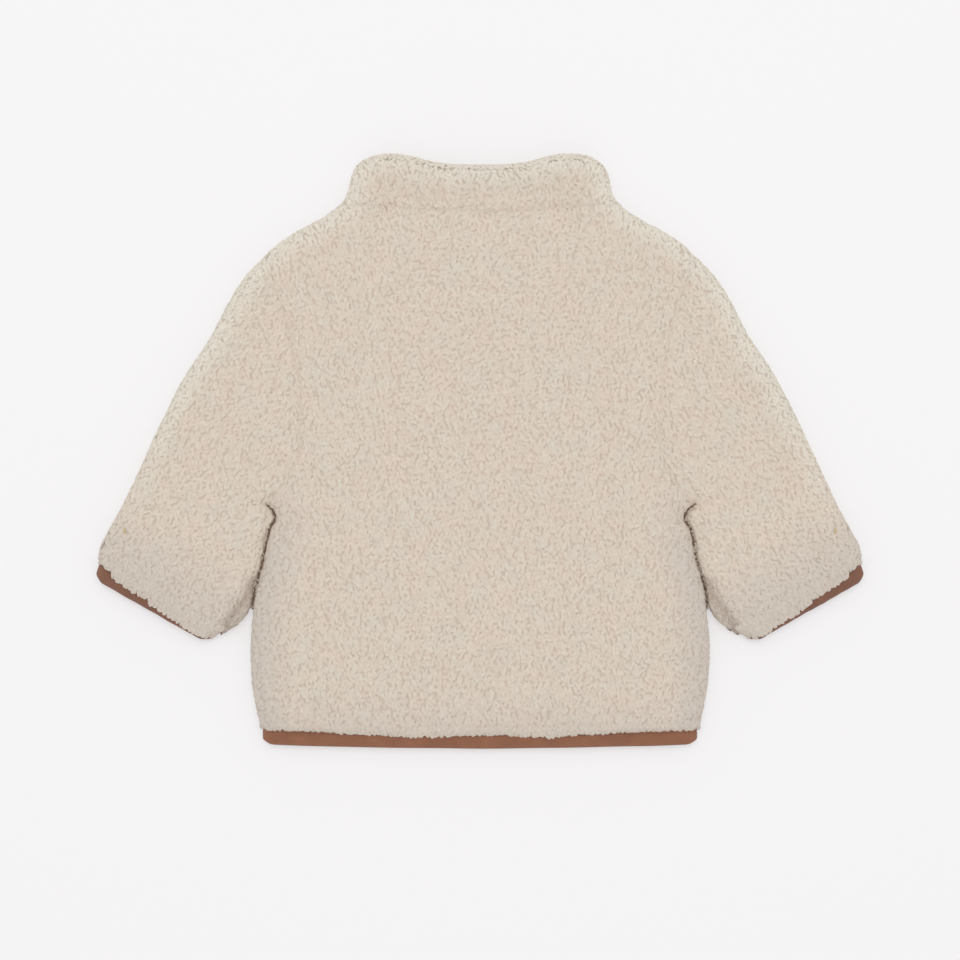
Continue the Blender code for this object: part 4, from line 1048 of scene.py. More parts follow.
def sherpa(name, form, way, seed, cut, finish, side=1, wrap=False, bands=1, bound=None):
    """A piece of sherpa: its knitted base, a wall set in from the solid's outer face by the height of the
    pile, and the pile itself. cut, the flat size as width, length and area, is not used. bound says how the
    pile ends at a binding.
    """
    rng = np.random.default_rng(seed)
    outer, inner, held = form
    outer, inner = outer * (side, 1, 1), inner * (side, 1, 1)
    normals = outward(outer, inner, wrap)
    uneven = 0.3 * ripple(outer, (13.0, 21.0, 33.0), seed)[..., None]
    base = outer - (PILE + np.maximum(uneven, -0.25)) * normals
    lined = inner.copy()
    if not wrap and name != "collar":
        lined[..., :2] += (base - outer)[..., :2]
    top = outer[..., 2] > inner[..., 2]
    base[..., 2] += np.where(top & (normals[..., 2] > 0), pile_relief(outer[..., :2]), 0)
    base[..., 2] = np.where(
        top,
        np.maximum(base[..., 2], lined[..., 2] + LEAST_WALL),
        np.minimum(base[..., 2], lined[..., 2] - LEAST_WALL),
    )
    if name == "collar":
        near_top = eased(np.arange(1 - len(outer), 1) / 9 + 1)[:, None] * eased((outer[-1, :, 2] - CLOTH) / 2)
        lined[..., 1] -= EDGE_DRAW * near_top
    if bound:
        end = -1 if wrap else 0
        for grid, inset in ((base, 0.0), (lined, LEAST_WALL)):
            across = bound["place_of"](grid[end])[0]
            low, high = bound["ends"]
            grid[end, :, :2] += (
                (np.clip(across, low + inset, high - inset) - across)[:, None] * bound["across_way"]
            )
    wall_out, wall_in = base, lined
    if held:
        out_rows, in_rows = (row * (side, 1, 1) for row in held)
        order = (lambda a, b: [a, b]) if wrap else (lambda a, b: [b, a])
        wall_out = np.concatenate(order(wall_out, out_rows))
        wall_in = np.concatenate(order(wall_in, in_rows))
    rows, columns = wall_out.shape[:2]
    points = [wall_out.reshape(-1, 3), wall_in.reshape(-1, 3)]
    faces = [wall_faces(rows, columns, wrap)]
    if bound:
        strip = overhang(bound, seed + 50)
        few, ways = strip[0][::2, ::5], strip[1][::2, ::5]
        faces.append(wall_faces(*few.shape[:2]) + 2 * rows * columns)
        points += [(few - 0.1 * ways).reshape(-1, 3), (few - 0.7 * ways).reshape(-1, 3)]
    points = np.concatenate(points)
    # The base between the curls is painted a little darker, as shade, and greyed by the same painted shade as
    # the pile.
    marks = {"rise": np.full(len(points), BASE_PAINTED_LIGHT), "painted_low_shade": painted_low_shade_share(points, wrap)}
    cloth = make_piece(name + "_base", points, faces, finish, "sherpa", weld=True, marks=marks)
    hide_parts(name)

    quads = grid_quads(*outer.shape[:2], wrap)
    seen = (normals.reshape(-1, 3)[quads, 2] > -0.45).any(1)
    pieces = []
    for part, kept, gap in (("", seen, CURL_GAP), ("_under", ~seen, CURL_GAP_UNDER)):
        shown = part == ""
        if not kept.any():
            continue
        roots, ways = scattered(base, normals, quads[kept], gap, rng)
        if len(roots) < 50:
            continue
        flow = pile_flow(roots, way, rng)
        size = 1.0 if shown else UNDER_SIZE
        size = 1 + (size - 1) * eased((distance(RIM_LINES, roots[:, :2]) - 3) / 6)
        length = rng.uniform(*CURL_LENGTH, len(roots)) * size
        width = rng.uniform(*CURL_WIDTH, len(roots)) * size
        height = rng.uniform(0.1, 0.5, len(roots))
        if bound and shown:
            roots = drawn_back(roots, flow, length, bound["table"], bound["place_of"], np.array(way))
        # Painted shade in the seam partings and the pile's hollows, on the upper side only.
        painted_shade = painted_shade_share(roots) if shown else 0.0 * length
        groups = np.minimum((np.argsort(np.argsort(-roots[:, 1])) * bands) // len(roots), bands - 1)
        for band in range(bands if shown else 1):
            pick = groups == band if shown else slice(None)
            label = f"{name}_pile{part}" + (f"_{band + 1}" if shown and bands > 1 else "")
            sizes = (length[pick], width[pick], height[pick])
            sides = 5 if shown else 4
            laid = (roots[pick], ways[pick], flow[pick])
            pieces.append(curls(label, *laid, sizes, sides, finish, "sherpa", rng, painted_shade=painted_shade[pick]))
    if bound:
        pieces.append(fringe(name + "_fringe", strip, seed + 50, finish, way))
    if wrap:
        pieces.append(slit_locks(name + "_slit", side, seed + 70, finish))
        line = points_at(LINES["armhole"], np.linspace(*SEAM_ENDS, LOCK_POINTS)) * (side, 1)
        pieces.append(seam_locks(name + "_seam", line, ARMHOLE_LOCKS, seed + 60, finish))
    if name == "collar":
        pieces.append(collar_edge_locks(outer, inner, seed + 90, finish))
        line = points_at(whole_line(LINES["neckline_back"]), np.linspace(*SEAM_ENDS, LOCK_POINTS)) + (0, 0.6)
        pieces.append(seam_locks(name + "_seam", line, NECK_LOCKS, seed + 60, finish))
    width, length, area = cut
    return cloth, pieces


# How far the pile hangs over the binding. Columns: across, overhang. At a cuff across runs from the inner end
# to the outer.
HEM_OVERHANG = (
    (-143.5, 0.9), (-135, 0.6), (-100, 0.5), (-92, 2.3), (-60, 2.7), (-45, 3.9), (-30, 3.6), (-12, 2.4),
    (15, 2.1), (32, 3.5), (48, 4.0), (62, 2.6), (80, 2.3), (95, 1.4), (103, 0.5), (135, 0.6), (143.5, 0.9),
)
CUFF_OVERHANG = (
    (-47.6, 0.6), (-46.8, 1.2), (-42.2, 8.2), (-35, 9.6), (-29.6, 9.7), (-20, 9.0), (-7, 8.2), (3, 7.6),
    (4.2, 5.2), (14.8, 6.0), (24, 5.2), (32.5, 4.6), (34, 1.2), (39, 0.9), (43.6, 1.3),
)


def hem_place_of(points):
    """Where points lie across the hem, and how far past the binding's upper edge."""
    return points[:, 0], hem_along(points[:, 0]) - BINDING_STEP - points[:, 1]


def cuff_place_of(side):
    """The same at a cuff, for the half on that side."""
    return lambda points: tuple(
        (points[:, :2] * (side, 1) - CUFF_BINDING_TOP) @ way for way in (CUFF_ACROSS, CUFF_OUT)
    )


def overhang(bound, seed):
    """The cloth that rolls over a binding's upper edge: a strip that starts inside the pile and comes down,
    as a parabola, to just above the binding. Returns its points and normals.
    """
    table, place, half, folds = np.array(bound["table"]), bound["place"], bound["half"], bound["folds"]
    across = np.linspace(table[0, 0], table[-1, 0], 400)
    reach = (
        np.interp(across, table[:, 0], table[:, 1])
        + 0.3 * ripple(across[:, None] * (1, 0), (3.1, 5.3, 8.7), seed)
    )
    end = np.maximum(reach - 2.0, -0.7)
    fall = FRINGE_START + np.linspace(0, 1, 9)[:, None] * (end - FRINGE_START)
    path, facing = bound_path(half, np.clip(across, BOUND_HALF - half, half - BOUND_HALF), True)
    on_tape = (path + BOUND_HALF * facing)[:, 1]
    plan = np.stack([place(across, f, 0 * across) for f in fall])[..., :2]
    on_cloth = over(plan[0], folds) - PILE
    height = (
        on_tape
        + FRINGE_CLEAR
        + (on_cloth - on_tape - FRINGE_CLEAR) * (1 - np.linspace(0, 1, 9)[:, None] ** 2)
    )
    grid = raised(plan, height)
    return grid, outward(grid, grid - (0, 0, 5.0))


def fringe(name, strip, seed, finish, way):
    """Locks of pile over a binding: curls scattered on the overhanging strip, which point off its edge."""
    rng = np.random.default_rng(seed)
    grid, normals = strip
    roots, ways = scattered(grid, normals, grid_quads(*grid.shape[:2]), FRINGE_GAP, rng)
    flow = np.tile((*way, -0.1), (len(roots), 1)) + 0.28 * rng.normal(size=(len(roots), 3))
    sizes = (
        rng.uniform(*CURL_LENGTH, len(roots)),
        rng.uniform(*CURL_WIDTH, len(roots)),
        rng.uniform(0.1, 0.45, len(roots)),
    )
    return curls(name, roots, ways, flow, sizes, 4, finish, "sherpa", rng)


def locks_along(name, line, rows, seed, finish):
    """Locks laid along a line of points. Each row gives how many, how far to the line's left, how far up, how
    unevenly, their turn from the line in degrees, their width and their share of painted shade.
    """
    rng = np.random.default_rng(seed)
    heading = unit(np.gradient(line, axis=0) * (1, 1, 0))
    aside = np.stack([-heading[:, 1], heading[:, 0], 0 * heading[:, 0]], axis=1)
    roots, flows, widths, row_shades = [], [], [], []
    for count, left, up, loose, turn, width, row_shade in rows:
        at = (np.arange(count) + rng.uniform(0.1, 0.9, count)) / count * (len(line) - 1)
        spot, way, out = (
            np.stack([np.interp(at, np.arange(len(line)), v[:, k]) for k in range(3)], axis=1)
            for v in (line, heading, aside)
        )
        angle = np.radians(turn) * rng.normal(size=(count, 1))
        roots.append(
            spot
            + out * (left + loose * rng.uniform(-1, 1, (count, 1)))
            + (0, 0, 1) * (up + 0.5 * loose * rng.uniform(-1, 1, (count, 1)))
        )
        flows.append(np.cos(angle) * way + np.sin(angle) * out)
        widths.append(width * rng.uniform(0.8, 1.15, count))
        row_shades.append(np.full(count, row_shade))
    roots, flows, widths = np.concatenate(roots), np.concatenate(flows), np.concatenate(widths)
    up = unit(np.tile((0.0, 0.0, 1.0), (len(roots), 1)) + 0.2 * rng.normal(size=(len(roots), 3)))
    sizes = (rng.uniform(2.6, 4.0, len(roots)), widths, rng.uniform(0.1, 0.4, len(roots)))
    return curls(name, roots, up, flows, sizes, 4, finish, "sherpa", rng, painted_shade=np.concatenate(row_shades))


def slit_locks(name, side, seed, finish):
    """The gap between a sleeve and the body: dark brownish locks low along its middle, coloured as painted
    shade for the shade in the gap, and pale ones on both rims that close over it unevenly.
    """
    rim = np.array(BODY_SIDE[::-1][:SLIT_POINTS]) / 2 + np.array(SLEEVE_INNER[:SLIT_POINTS]) / 2
    line = points_at(smooth_curve(rim), np.linspace(0.0, 1.0, LOCK_POINTS))
    line = raised(line, SLIT_HEIGHT - 2.0 * np.linspace(0, 1, LOCK_POINTS) ** 6) * (side, 1, 1)
    # The last column is painted shade: the middle row of locks stands in the gap as its shadow, and the rim
    # rows are a little shaded.
    rows = (
        (150, 0.0, 0.0, 0.25, 12.0, 2.2, 0.9),
        (75, 1.75, 1.5, 0.45, 30.0, 2.0, 0.2),
        (75, -1.75, 1.5, 0.45, 30.0, 2.0, 0.2),
    )
    return locks_along(name, line, rows, seed, finish)


def collar_edge_locks(outer, inner, seed, finish):
    """The collar's top edge at the back, where the pile of its two sides meets: curls on a strip that runs
    round the wall's edge and a little way down its inner side.
    """
    rng = np.random.default_rng(seed)
    back = outer[-1, :, 2] > CLOTH
    strip = np.concatenate([outer[-7:, back], inner[-1:-9:-1, back]])
    normals = outward(strip, np.broadcast_to((outer[-14, back] + inner[-14, back]) / 2, strip.shape))
    grid = strip - EDGE_INSET * np.clip(normals[..., 1:2] + normals[..., 2:], 0, 1) * normals
    roots, ways = scattered(grid, normals, grid_quads(*grid.shape[:2]), FRINGE_GAP, rng)
    flow = np.tile((1.0, 0.0, 0.0), (len(roots), 1)) + 0.6 * rng.normal(size=(len(roots), 3))
    sizes = (
        rng.uniform(3.2, 4.6, len(roots)),
        rng.uniform(2.4, 3.2, len(roots)),
        rng.uniform(0.1, 0.35, len(roots)),
    )
    return curls("collar_edge", roots, ways, flow, sizes, 4, finish, "sherpa", rng, free=True)


def seam_locks(name, line, count, seed, finish):
    """Short locks that lie in the parting over a seam of the upper side, along it."""
    low = over(line, BODY_FOLDS)
    if "sleeve" in name:
        low = np.minimum(low, over(line, SLEEVE_FOLDS))
    # The last column is painted shade in the seam's parting.
    rows = ((count, 0.0, 0.1, 0.3, 16.0, 2.5, 0.06),)
    return locks_along(name, raised(line, low - PILE + pile_relief(line)), rows, seed, finish)



# ---------------------------------------------------------------- finishes
def new_finish(name):
    """An empty node finish: the tree, its shader and a way to add nodes."""
    made = bpy.data.materials.new(name)
    made.use_nodes = True
    return made, made.node_tree, made.node_tree.nodes["Principled BSDF"]


def add(tree, kind, settings=None, **values):
    """A node with its settings and the values of its inputs."""
    node = tree.nodes.new(kind)
    for key, value in (settings or {}).items():
        setattr(node, key, value)
    for key, value in values.items():
        node.inputs[key.replace("_", " ")].default_value = value
    return node


def link(tree, source, target):
    """Joins an output to an input."""
    tree.links.new(source, target)


def math_node(tree, operation, a, b=None, clamp=False):
    """A Math node whose inputs are sockets or numbers."""
    node = tree.nodes.new("ShaderNodeMath")
    node.operation, node.use_clamp = operation, clamp
    for socket, value in zip(node.inputs, (a, b)):
        if value is None:
            continue
        if isinstance(value, (int, float)):
            socket.default_value = value
        else:
            tree.links.new(value, socket)
    return node.outputs[0]


def plus(tree, a, b):
    """The sum of two sockets or numbers."""
    return math_node(tree, "ADD", a, b)


def times(tree, a, b):
    """The product of two sockets or numbers."""
    return math_node(tree, "MULTIPLY", a, b)


def carried(tree, name, output="Fac"):
    """A value that a piece's points carry, by its name."""
    return add(tree, "ShaderNodeAttribute", {"attribute_name": name}).outputs[output]


def mixed(tree, share, a, b):
    """A colour between two, each a socket or a value."""
    node = tree.nodes.new("ShaderNodeMix")
    node.data_type = "RGBA"
    for key, value in ((0, share), (6, a), (7, b)):
        if isinstance(value, (int, float)):
            node.inputs[key].default_value = value
        elif isinstance(value, tuple):
            node.inputs[key].default_value = (*value, 1)
        else:
            tree.links.new(value, node.inputs[key])
    return node.outputs[2]


def group(name, inputs, outputs):
    """An empty shared effect with named sockets: its tree, input node and output node."""
    tree = bpy.data.node_groups.new(name, "ShaderNodeTree")
    for label, kind, value in inputs:
        socket = tree.interface.new_socket(label, in_out="INPUT", socket_type=kind)
        if value is not None:
            socket.default_value = value
    for label, kind in outputs:
        tree.interface.new_socket(label, in_out="OUTPUT", socket_type=kind)
    return tree, tree.nodes.new("NodeGroupInput"), tree.nodes.new("NodeGroupOutput")


def placed(tree, effect, **values):
    """A shared effect placed in a finish, with its own values."""
    node = tree.nodes.new("ShaderNodeGroup")
    node.node_tree = effect
    for key, value in values.items():
        node.inputs[key.replace("_", " ")].default_value = value
    return node


def shaded(tree, shader, colour, shade):
    """Gives the finish its colour times a shade around 1."""
    scaled = add(tree, "ShaderNodeVectorMath", {"operation": "SCALE"})
    if isinstance(colour, tuple):
        scaled.inputs[0].default_value = colour
    else:
        link(tree, colour, scaled.inputs[0])
    link(tree, shade, scaled.inputs["Scale"])
    link(tree, scaled.outputs[0], shader.inputs["Base Color"])


def embossed(tree, shader, height, strength, depth):
    """Gives the finish fine relief, in the light only: depth is its height in metres."""
    bump = add(tree, "ShaderNodeBump", Strength=strength, Distance=depth)
    link(tree, height, bump.inputs["Height"])
    link(tree, bump.outputs["Normal"], shader.inputs["Normal"])


def cloth_like(shader, roughness, specular, sheen, sheen_roughness):
    """Sets how a cloth reflects light."""
    shader.inputs["Roughness"].default_value = roughness
    shader.inputs["Specular IOR Level"].default_value = specular
    shader.inputs["Sheen Weight"].default_value = sheen
    shader.inputs["Sheen Roughness"].default_value = sheen_roughness


def fibre_effect():
    """Fine loose fibre: two sizes of noise on Object coordinates, as a height and as a shade around 1."""
    tree, start, end = group(
        "fibre",
        [("Scale", "NodeSocketFloat", 1500.0), ("Contrast", "NodeSocketFloat", 0.1)],
        [("Height", "NodeSocketFloat"), ("Shade", "NodeSocketFloat")],
    )
    where = add(tree, "ShaderNodeTexCoord").outputs["Object"]
    fine = add(tree, "ShaderNodeTexNoise", Detail=2.0, Roughness=0.6)
    link(tree, where, fine.inputs["Vector"])
    link(tree, start.outputs["Scale"], fine.inputs["Scale"])
    link(tree, fine.outputs["Fac"], end.inputs["Height"])
    swing = times(tree, math_node(tree, "SUBTRACT", fine.outputs["Fac"], 0.5), start.outputs["Contrast"])
    link(tree, plus(tree, swing, 1.0), end.inputs["Shade"])
    return tree


def mottle_effect():
    """Slow unevenness of a dyed cloth: a share from 0 to 1 for mixing two near colours, in patches of about
    the size given in metres.
    """
    tree, start, end = group("mottle", [("Size", "NodeSocketFloat", 0.03)], [("Share", "NodeSocketFloat")])
    where = add(tree, "ShaderNodeTexCoord").outputs["Object"]
    slow = add(tree, "ShaderNodeTexNoise", Detail=3.0, Roughness=0.55)
    link(tree, where, slow.inputs["Vector"])
    link(tree, math_node(tree, "DIVIDE", 1.0, start.outputs["Size"]), slow.inputs["Scale"])
    share = add(tree, "ShaderNodeMapRange", From_Min=0.32, From_Max=0.68)
    link(tree, slow.outputs["Fac"], share.inputs["Value"])
    link(tree, share.outputs["Result"], end.inputs["Share"])
    return tree


def sherpa_finish(fibre, mottle):
    """Cream curls: darker at the root than at the crest, as painted shade between them, each its own tone, in
    slow pink and grey patches, with a painted highlight near the upper outline, a greyer painted shade
    towards the cuffs, the lower sides and the hem, and a browner painted shade in the seam partings and
    hollows, with strands along each curl and loose fibre.
    """
    made, tree, shader = new_finish("sherpa_cream")
    # Painted light and shade across each curl, from its darker foot to its lighter crest.
    rise = carried(tree, "rise")
    tone = carried(tree, "tone")
    patches = placed(tree, mottle, Size=0.014).outputs["Share"]
    patches = plus(tree, times(tree, patches, 0.6), times(tree, tone, 0.4))
    loose = placed(tree, fibre, Scale=1400.0, Contrast=0.08)
    # Painted highlight near the upper outline.
    rim = carried(tree, "rim")
    # Painted shade, greyer towards the cuffs, the lower sides and the hem.
    painted_low_shade = carried(tree, "painted_low_shade")
    tip = mixed(tree, times(tree, rim, 0.85), mixed(tree, patches, SHERPA_PINK, SHERPA_GREY), SHERPA_RIM_HIGHLIGHT)
    tip = mixed(tree, times(tree, painted_low_shade, 0.9), tip, SHERPA_LOW_SHADE)
    # Painted shade: a darker brownish colour where the pile lies low.
    painted_shade = carried(tree, "painted_shade")
    colour = mixed(tree, painted_shade, mixed(tree, rise, SHERPA_ROOT_SHADE, tip), SHERPA_HOLLOW_SHADE)
    stretched = add(tree, "ShaderNodeVectorMath", {"operation": "MULTIPLY"})
    stretched.inputs[1].default_value = (1.0, 0.3, 1.0)
    link(tree, carried(tree, "strand", "Vector"), stretched.inputs[0])
    strands = add(tree, "ShaderNodeTexNoise", Scale=1300.0, Detail=1.0, Roughness=0.5)
    link(tree, stretched.outputs[0], strands.inputs["Vector"])
    streak = plus(tree, times(tree, math_node(tree, "SUBTRACT", strands.outputs["Fac"], 0.5), 0.18), 1.0)
    shade = plus(tree, times(tree, tone, 0.08), 0.94)
    shade = times(tree, times(tree, shade, streak), loose.outputs["Shade"])
    shaded(tree, shader, colour, shade)
    embossed(tree, shader, loose.outputs["Height"], 0.25, 0.0004)
    cloth_like(shader, 0.95, 0.15, 0.12, 0.6)
    return made


def knit_finish(name, light, dark, wale, course, depth, fibre, mottle):
    """Fine knitted tape: columns of small V stitches, drawn from the cloth's own map. Across a column the
    stitch leans up to its middle, so the V is the distance along plus the distance from the middle.
    """
    made, tree, shader = new_finish(name)
    at = add(tree, "ShaderNodeSeparateXYZ")
    link(tree, carried(tree, "cloth", "Vector"), at.inputs[0])
    column = math_node(tree, "PINGPONG", math_node(tree, "DIVIDE", at.outputs["X"], wale / 2), 1.0)
    row = plus(tree, math_node(tree, "DIVIDE", at.outputs["Y"], course), times(tree, column, 0.55))
    leg = math_node(tree, "SINE", times(tree, row, 2 * math.pi))
    groove = math_node(tree, "SINE", times(tree, column, math.pi))
    stitch = times(tree, plus(tree, times(tree, leg, 0.5), 0.5), math_node(tree, "POWER", groove, 0.6))
    loose = placed(tree, fibre, Scale=2500.0, Contrast=0.3)
    patches = placed(tree, mottle, Size=0.012).outputs["Share"]
    share = plus(tree, times(tree, stitch, 0.6), times(tree, patches, 0.4))
    colour = mixed(tree, share, dark, light)
    shaded(tree, shader, colour, loose.outputs["Shade"])
    height = plus(tree, stitch, times(tree, loose.outputs["Height"], 0.5))
    embossed(tree, shader, height, 0.8, depth)
    cloth_like(shader, 0.85, 0.25, 0.15, 0.5)
    return made


def thread_finish(name, colour, fibre):
    """Twisted sewing thread: fine diagonal ridges and loose fibre."""
    made, tree, shader = new_finish(name)
    loose = placed(tree, fibre, Scale=4000.0, Contrast=0.5)
    shaded(tree, shader, colour, loose.outputs["Shade"])
    twist = add(tree, "ShaderNodeTexWave", {"bands_direction": "DIAGONAL"}, Scale=900.0, Distortion=1.0)
    link(tree, add(tree, "ShaderNodeTexCoord").outputs["Object"], twist.inputs["Vector"])
    embossed(tree, shader, twist.outputs["Fac"], 0.5, 0.0002)
    shader.inputs["Roughness"].default_value = 0.7
    return made


def metal_finish(fibre, mottle):
    """Rubbed brass: brighter and smoother in patches, duller between, with fine brushed marks."""
    made, tree, shader = new_finish("zip_brass")
    patches = placed(tree, mottle, Size=0.004).outputs["Share"]
    brushed = placed(tree, fibre, Scale=3000.0, Contrast=0.2)
    link(tree, mixed(tree, patches, (0.42, 0.33, 0.22), (0.66, 0.56, 0.42)), shader.inputs["Base Color"])
    link(tree, plus(tree, times(tree, patches, -0.14), 0.42), shader.inputs["Roughness"])
    embossed(tree, shader, brushed.outputs["Height"], 0.25, 0.00005)
    shader.inputs["Metallic"].default_value = 1.0
    return made


# Painted shade at the foot of each curl and on the base between the curls.
SHERPA_ROOT_SHADE = (0.668, 0.57, 0.472)
SHERPA_PINK = (0.756, 0.624, 0.521)
SHERPA_GREY = (0.692, 0.648, 0.555)
# Painted highlight near the upper outline.
SHERPA_RIM_HIGHLIGHT = (0.798, 0.773, 0.674)
# Painted shade, greyer towards the cuffs, the lower sides and the hem.
SHERPA_LOW_SHADE = (0.608, 0.555, 0.498)
# Painted shade, a darker brownish colour, where the pile lies low in hollows and gaps.
SHERPA_HOLLOW_SHADE = (0.20, 0.12, 0.08)
FIBRE, MOTTLE = fibre_effect(), mottle_effect()
CREAM = sherpa_finish(FIBRE, MOTTLE)
BROWN_KNIT = knit_finish(
    "brown_jersey", (0.39, 0.172, 0.097), (0.245, 0.111, 0.064), 0.0013, 0.0011, 0.0003, FIBRE, MOTTLE
)
# A darker copy of the hem binding's jersey, painted in shade, for the cuffs, where the pile's overhang shades
# the tape.
SHADED_KNIT = knit_finish(
    "brown_jersey_painted_shade", (0.315, 0.15, 0.097), (0.20, 0.098, 0.066), 0.0013, 0.0011, 0.0003, FIBRE, MOTTLE
)
TAPE_WEAVE = knit_finish(
    "zip_tape_weave", (0.66, 0.54, 0.42), (0.42, 0.33, 0.25), 0.0008, 0.0006, 0.0002, FIBRE, MOTTLE
)
BROWN_THREAD = thread_finish("brown_thread", (0.2, 0.095, 0.06), FIBRE)
OCHRE_THREAD = thread_finish("ochre_thread", (0.62, 0.47, 0.24), FIBRE)
BRASS = metal_finish(FIBRE, MOTTLE)


# ---------------------------------------------------------------- the cloth
DOWN = (0.0, -1.0)
HEM_END = {
    "table": HEM_OVERHANG,
    "place": hem_place,
    "place_of": hem_place_of,
    "half": HEM_BINDING_HALF,
    "folds": BODY_FOLDS,
    "ends": (0.8 - HEM_BINDING_HALF, HEM_BINDING_HALF - 0.8),
    "across_way": np.array((1.0, 0.0)),
}


def cuff_end(side):
    """How the pile of the sleeve on that side ends."""
    return {
        "table": CUFF_OVERHANG,
        "place": cuff_place(side),
        "place_of": cuff_place_of(side),
        "half": CUFF_BINDING_HALF,
        "folds": SLEEVE_FOLDS,
        "ends": (-CUFF_BINDING_HALF - 3.2, CUFF_BINDING_HALF - 0.8),
        "across_way": CUFF_ACROSS * (side, 1),
    }


FRONT_CUT = (0.160, 0.353, 0.043)  # flat width, length and area, in metres
SLEEVE_CUT = (0.230, 0.250, 0.045)
sherpa("back", back_form(), DOWN, 11, (0.302, 0.357, 0.0925), CREAM, bands=3, bound=HEM_END)
front = front_form()
sherpa("front_right", front, DOWN, 12, FRONT_CUT, CREAM)
sherpa("front_left", front, DOWN, 13, FRONT_CUT, CREAM, side=-1)
sleeve = sleeve_form()
sherpa("sleeve_right", sleeve, tuple(CUFF_OUT), 14, SLEEVE_CUT, CREAM, wrap=True, bound=cuff_end(1))
sherpa(
    "sleeve_left", sleeve, (-CUFF_OUT[0], CUFF_OUT[1]), 15, SLEEVE_CUT, CREAM, side=-1, wrap=True,
    bound=cuff_end(-1),
)
sherpa("collar", collar_form(), DOWN, 16, (0.400, 0.045, 0.0165), CREAM)


# ---------------------------------------------------------------- bindings
# Distances from a bound edge's end, where it turns.
TURN = np.array((0.0, 0.12, 0.35, 0.75, 1.3, 1.9, 2.4, 3.2))


def folded_section(half, depth):
    """The tape folded over an edge, seen from its end: down one side, round a half circle, up the other.
    Returns out and down.
    """
    turn = np.linspace(0, math.pi, 9)[1:-1]
    fall = np.linspace(0, depth - half, 6)
    return (
        np.concatenate([np.full(6, half), half * np.cos(turn), np.full(6, -half)]),
        np.concatenate([fall, depth - half + half * np.sin(turn), fall[::-1]]),
    )


def binding(name, across, upper, half, place, wrap, seed, finish, flare=0.0):
    """The folded tape: its section carried along the bound edge, with slow unevenness in its thickness and
    depth, and a row of stitches on each side near its upper edge. flare is how far its upper edge spreads at
    the outer end of a cuff.
    """
    path, facing = bound_path(half, across, upper)
    middle = place(path[:, 0], 4.0, path[:, 1])
    along = lengths_along(middle)
    wave = ripple(middle, (9.0, 14.0, 23.0), seed)
    ends = np.ones(len(across)) if wrap else np.clip(np.minimum(along, along[-1] - along) / 8, 0, 1)
    spread = flare * np.clip((across - half + 14) / 14, 0, 1) ** 2

    def side(half_width, depth):
        """One face of the tape: a ring of points for each point of its section, and how far round it each is.
        """
        out, down = folded_section(half_width, depth)
        rings = []
        kept = depth_kept(across, half)
        for o, d in zip(out, down):
            swell = 1 + 0.09 * wave * ends * (d / depth) - 0.10 * math.exp(-(((d - STITCH_DOWN) / 1.1) ** 2))
            flat = path + (o * swell)[:, None] * facing
            rings.append(
                place(
                    flat[:, 0] + spread * (1 - d / depth),
                    d * kept * (1 + 0.025 * wave * ends),
                    np.maximum(flat[:, 1], FLOOR_GAP),
                )
            )
        return np.stack(rings), np.cumsum(np.concatenate([[0], np.hypot(np.diff(out), np.diff(down))]))

    outer, around = side(BOUND_HALF, BINDING_DEPTH)
    inner, _ = side(BOUND_HALF - BINDING_WALL, BINDING_DEPTH - FOLD_WALL)
    cloth = np.stack(np.broadcast_arrays(along[None], around[:, None], 0.0), -1).reshape(-1, 3) * MM
    points = np.concatenate([outer.reshape(-1, 3), inner.reshape(-1, 3)])
    tape = make_piece(
        name + "_tape", points, [wall_faces(*outer.shape[:2], wrap)], finish, "binding",
        marks={"cloth": np.concatenate([cloth, cloth])},
    )
    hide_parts(name)

    rng = np.random.default_rng(seed)
    spots = np.arange(1.2, along[-1] - 1.2, STITCH_PITCH)
    roots, ways, flows = [], [], []
    for out in (1, -1):
        flat = path + out * (BOUND_HALF * 0.9 + 0.05) * facing
        line = place(flat[:, 0], STITCH_DOWN, flat[:, 1])
        deeper = path + out * (BOUND_HALF * 0.9 - 0.95) * facing
        way = unit(line - place(deeper[:, 0], STITCH_DOWN, deeper[:, 1]))
        tangent = unit(np.gradient(line, axis=0))
        for store, values in ((roots, line), (ways, way), (flows, tangent)):
            store.append(np.stack([np.interp(spots, along, values[:, c]) for c in range(3)], axis=1))
    roots, ways, flows = np.concatenate(roots), unit(np.concatenate(ways)), np.concatenate(flows)
    one = np.ones(len(roots))
    stitches = curls(
        name + "_stitches", roots, ways, flows, (2.5 * one, 0.55 * one, 0.12 * one), 4, BROWN_THREAD,
        "binding", rng, straight=True,
    )
    return tape


def hem_binding():
    """From one front edge, round the side, across the back and round to the other."""
    reach = HEM_BINDING_HALF - BOUND_HALF
    lower = np.concatenate([np.linspace(OPENING + 0.3, reach - TURN[-1], 60), reach - TURN[-2::-1]])
    upper = np.concatenate(
        [
            reach - TURN[1:],
            np.linspace(reach - TURN[-1], TURN[-1] - reach, 120)[1:-1],
            TURN[::-1][:-1] - reach,
        ]
    )
    across = np.concatenate([lower, upper, -lower[::-1]])
    is_upper = np.concatenate([np.zeros(len(lower)), np.ones(len(upper)), np.zeros(len(lower))]).astype(bool)
    return binding(
        "hem_binding", across, is_upper, HEM_BINDING_HALF, hem_place, False, 21, BROWN_KNIT
    )


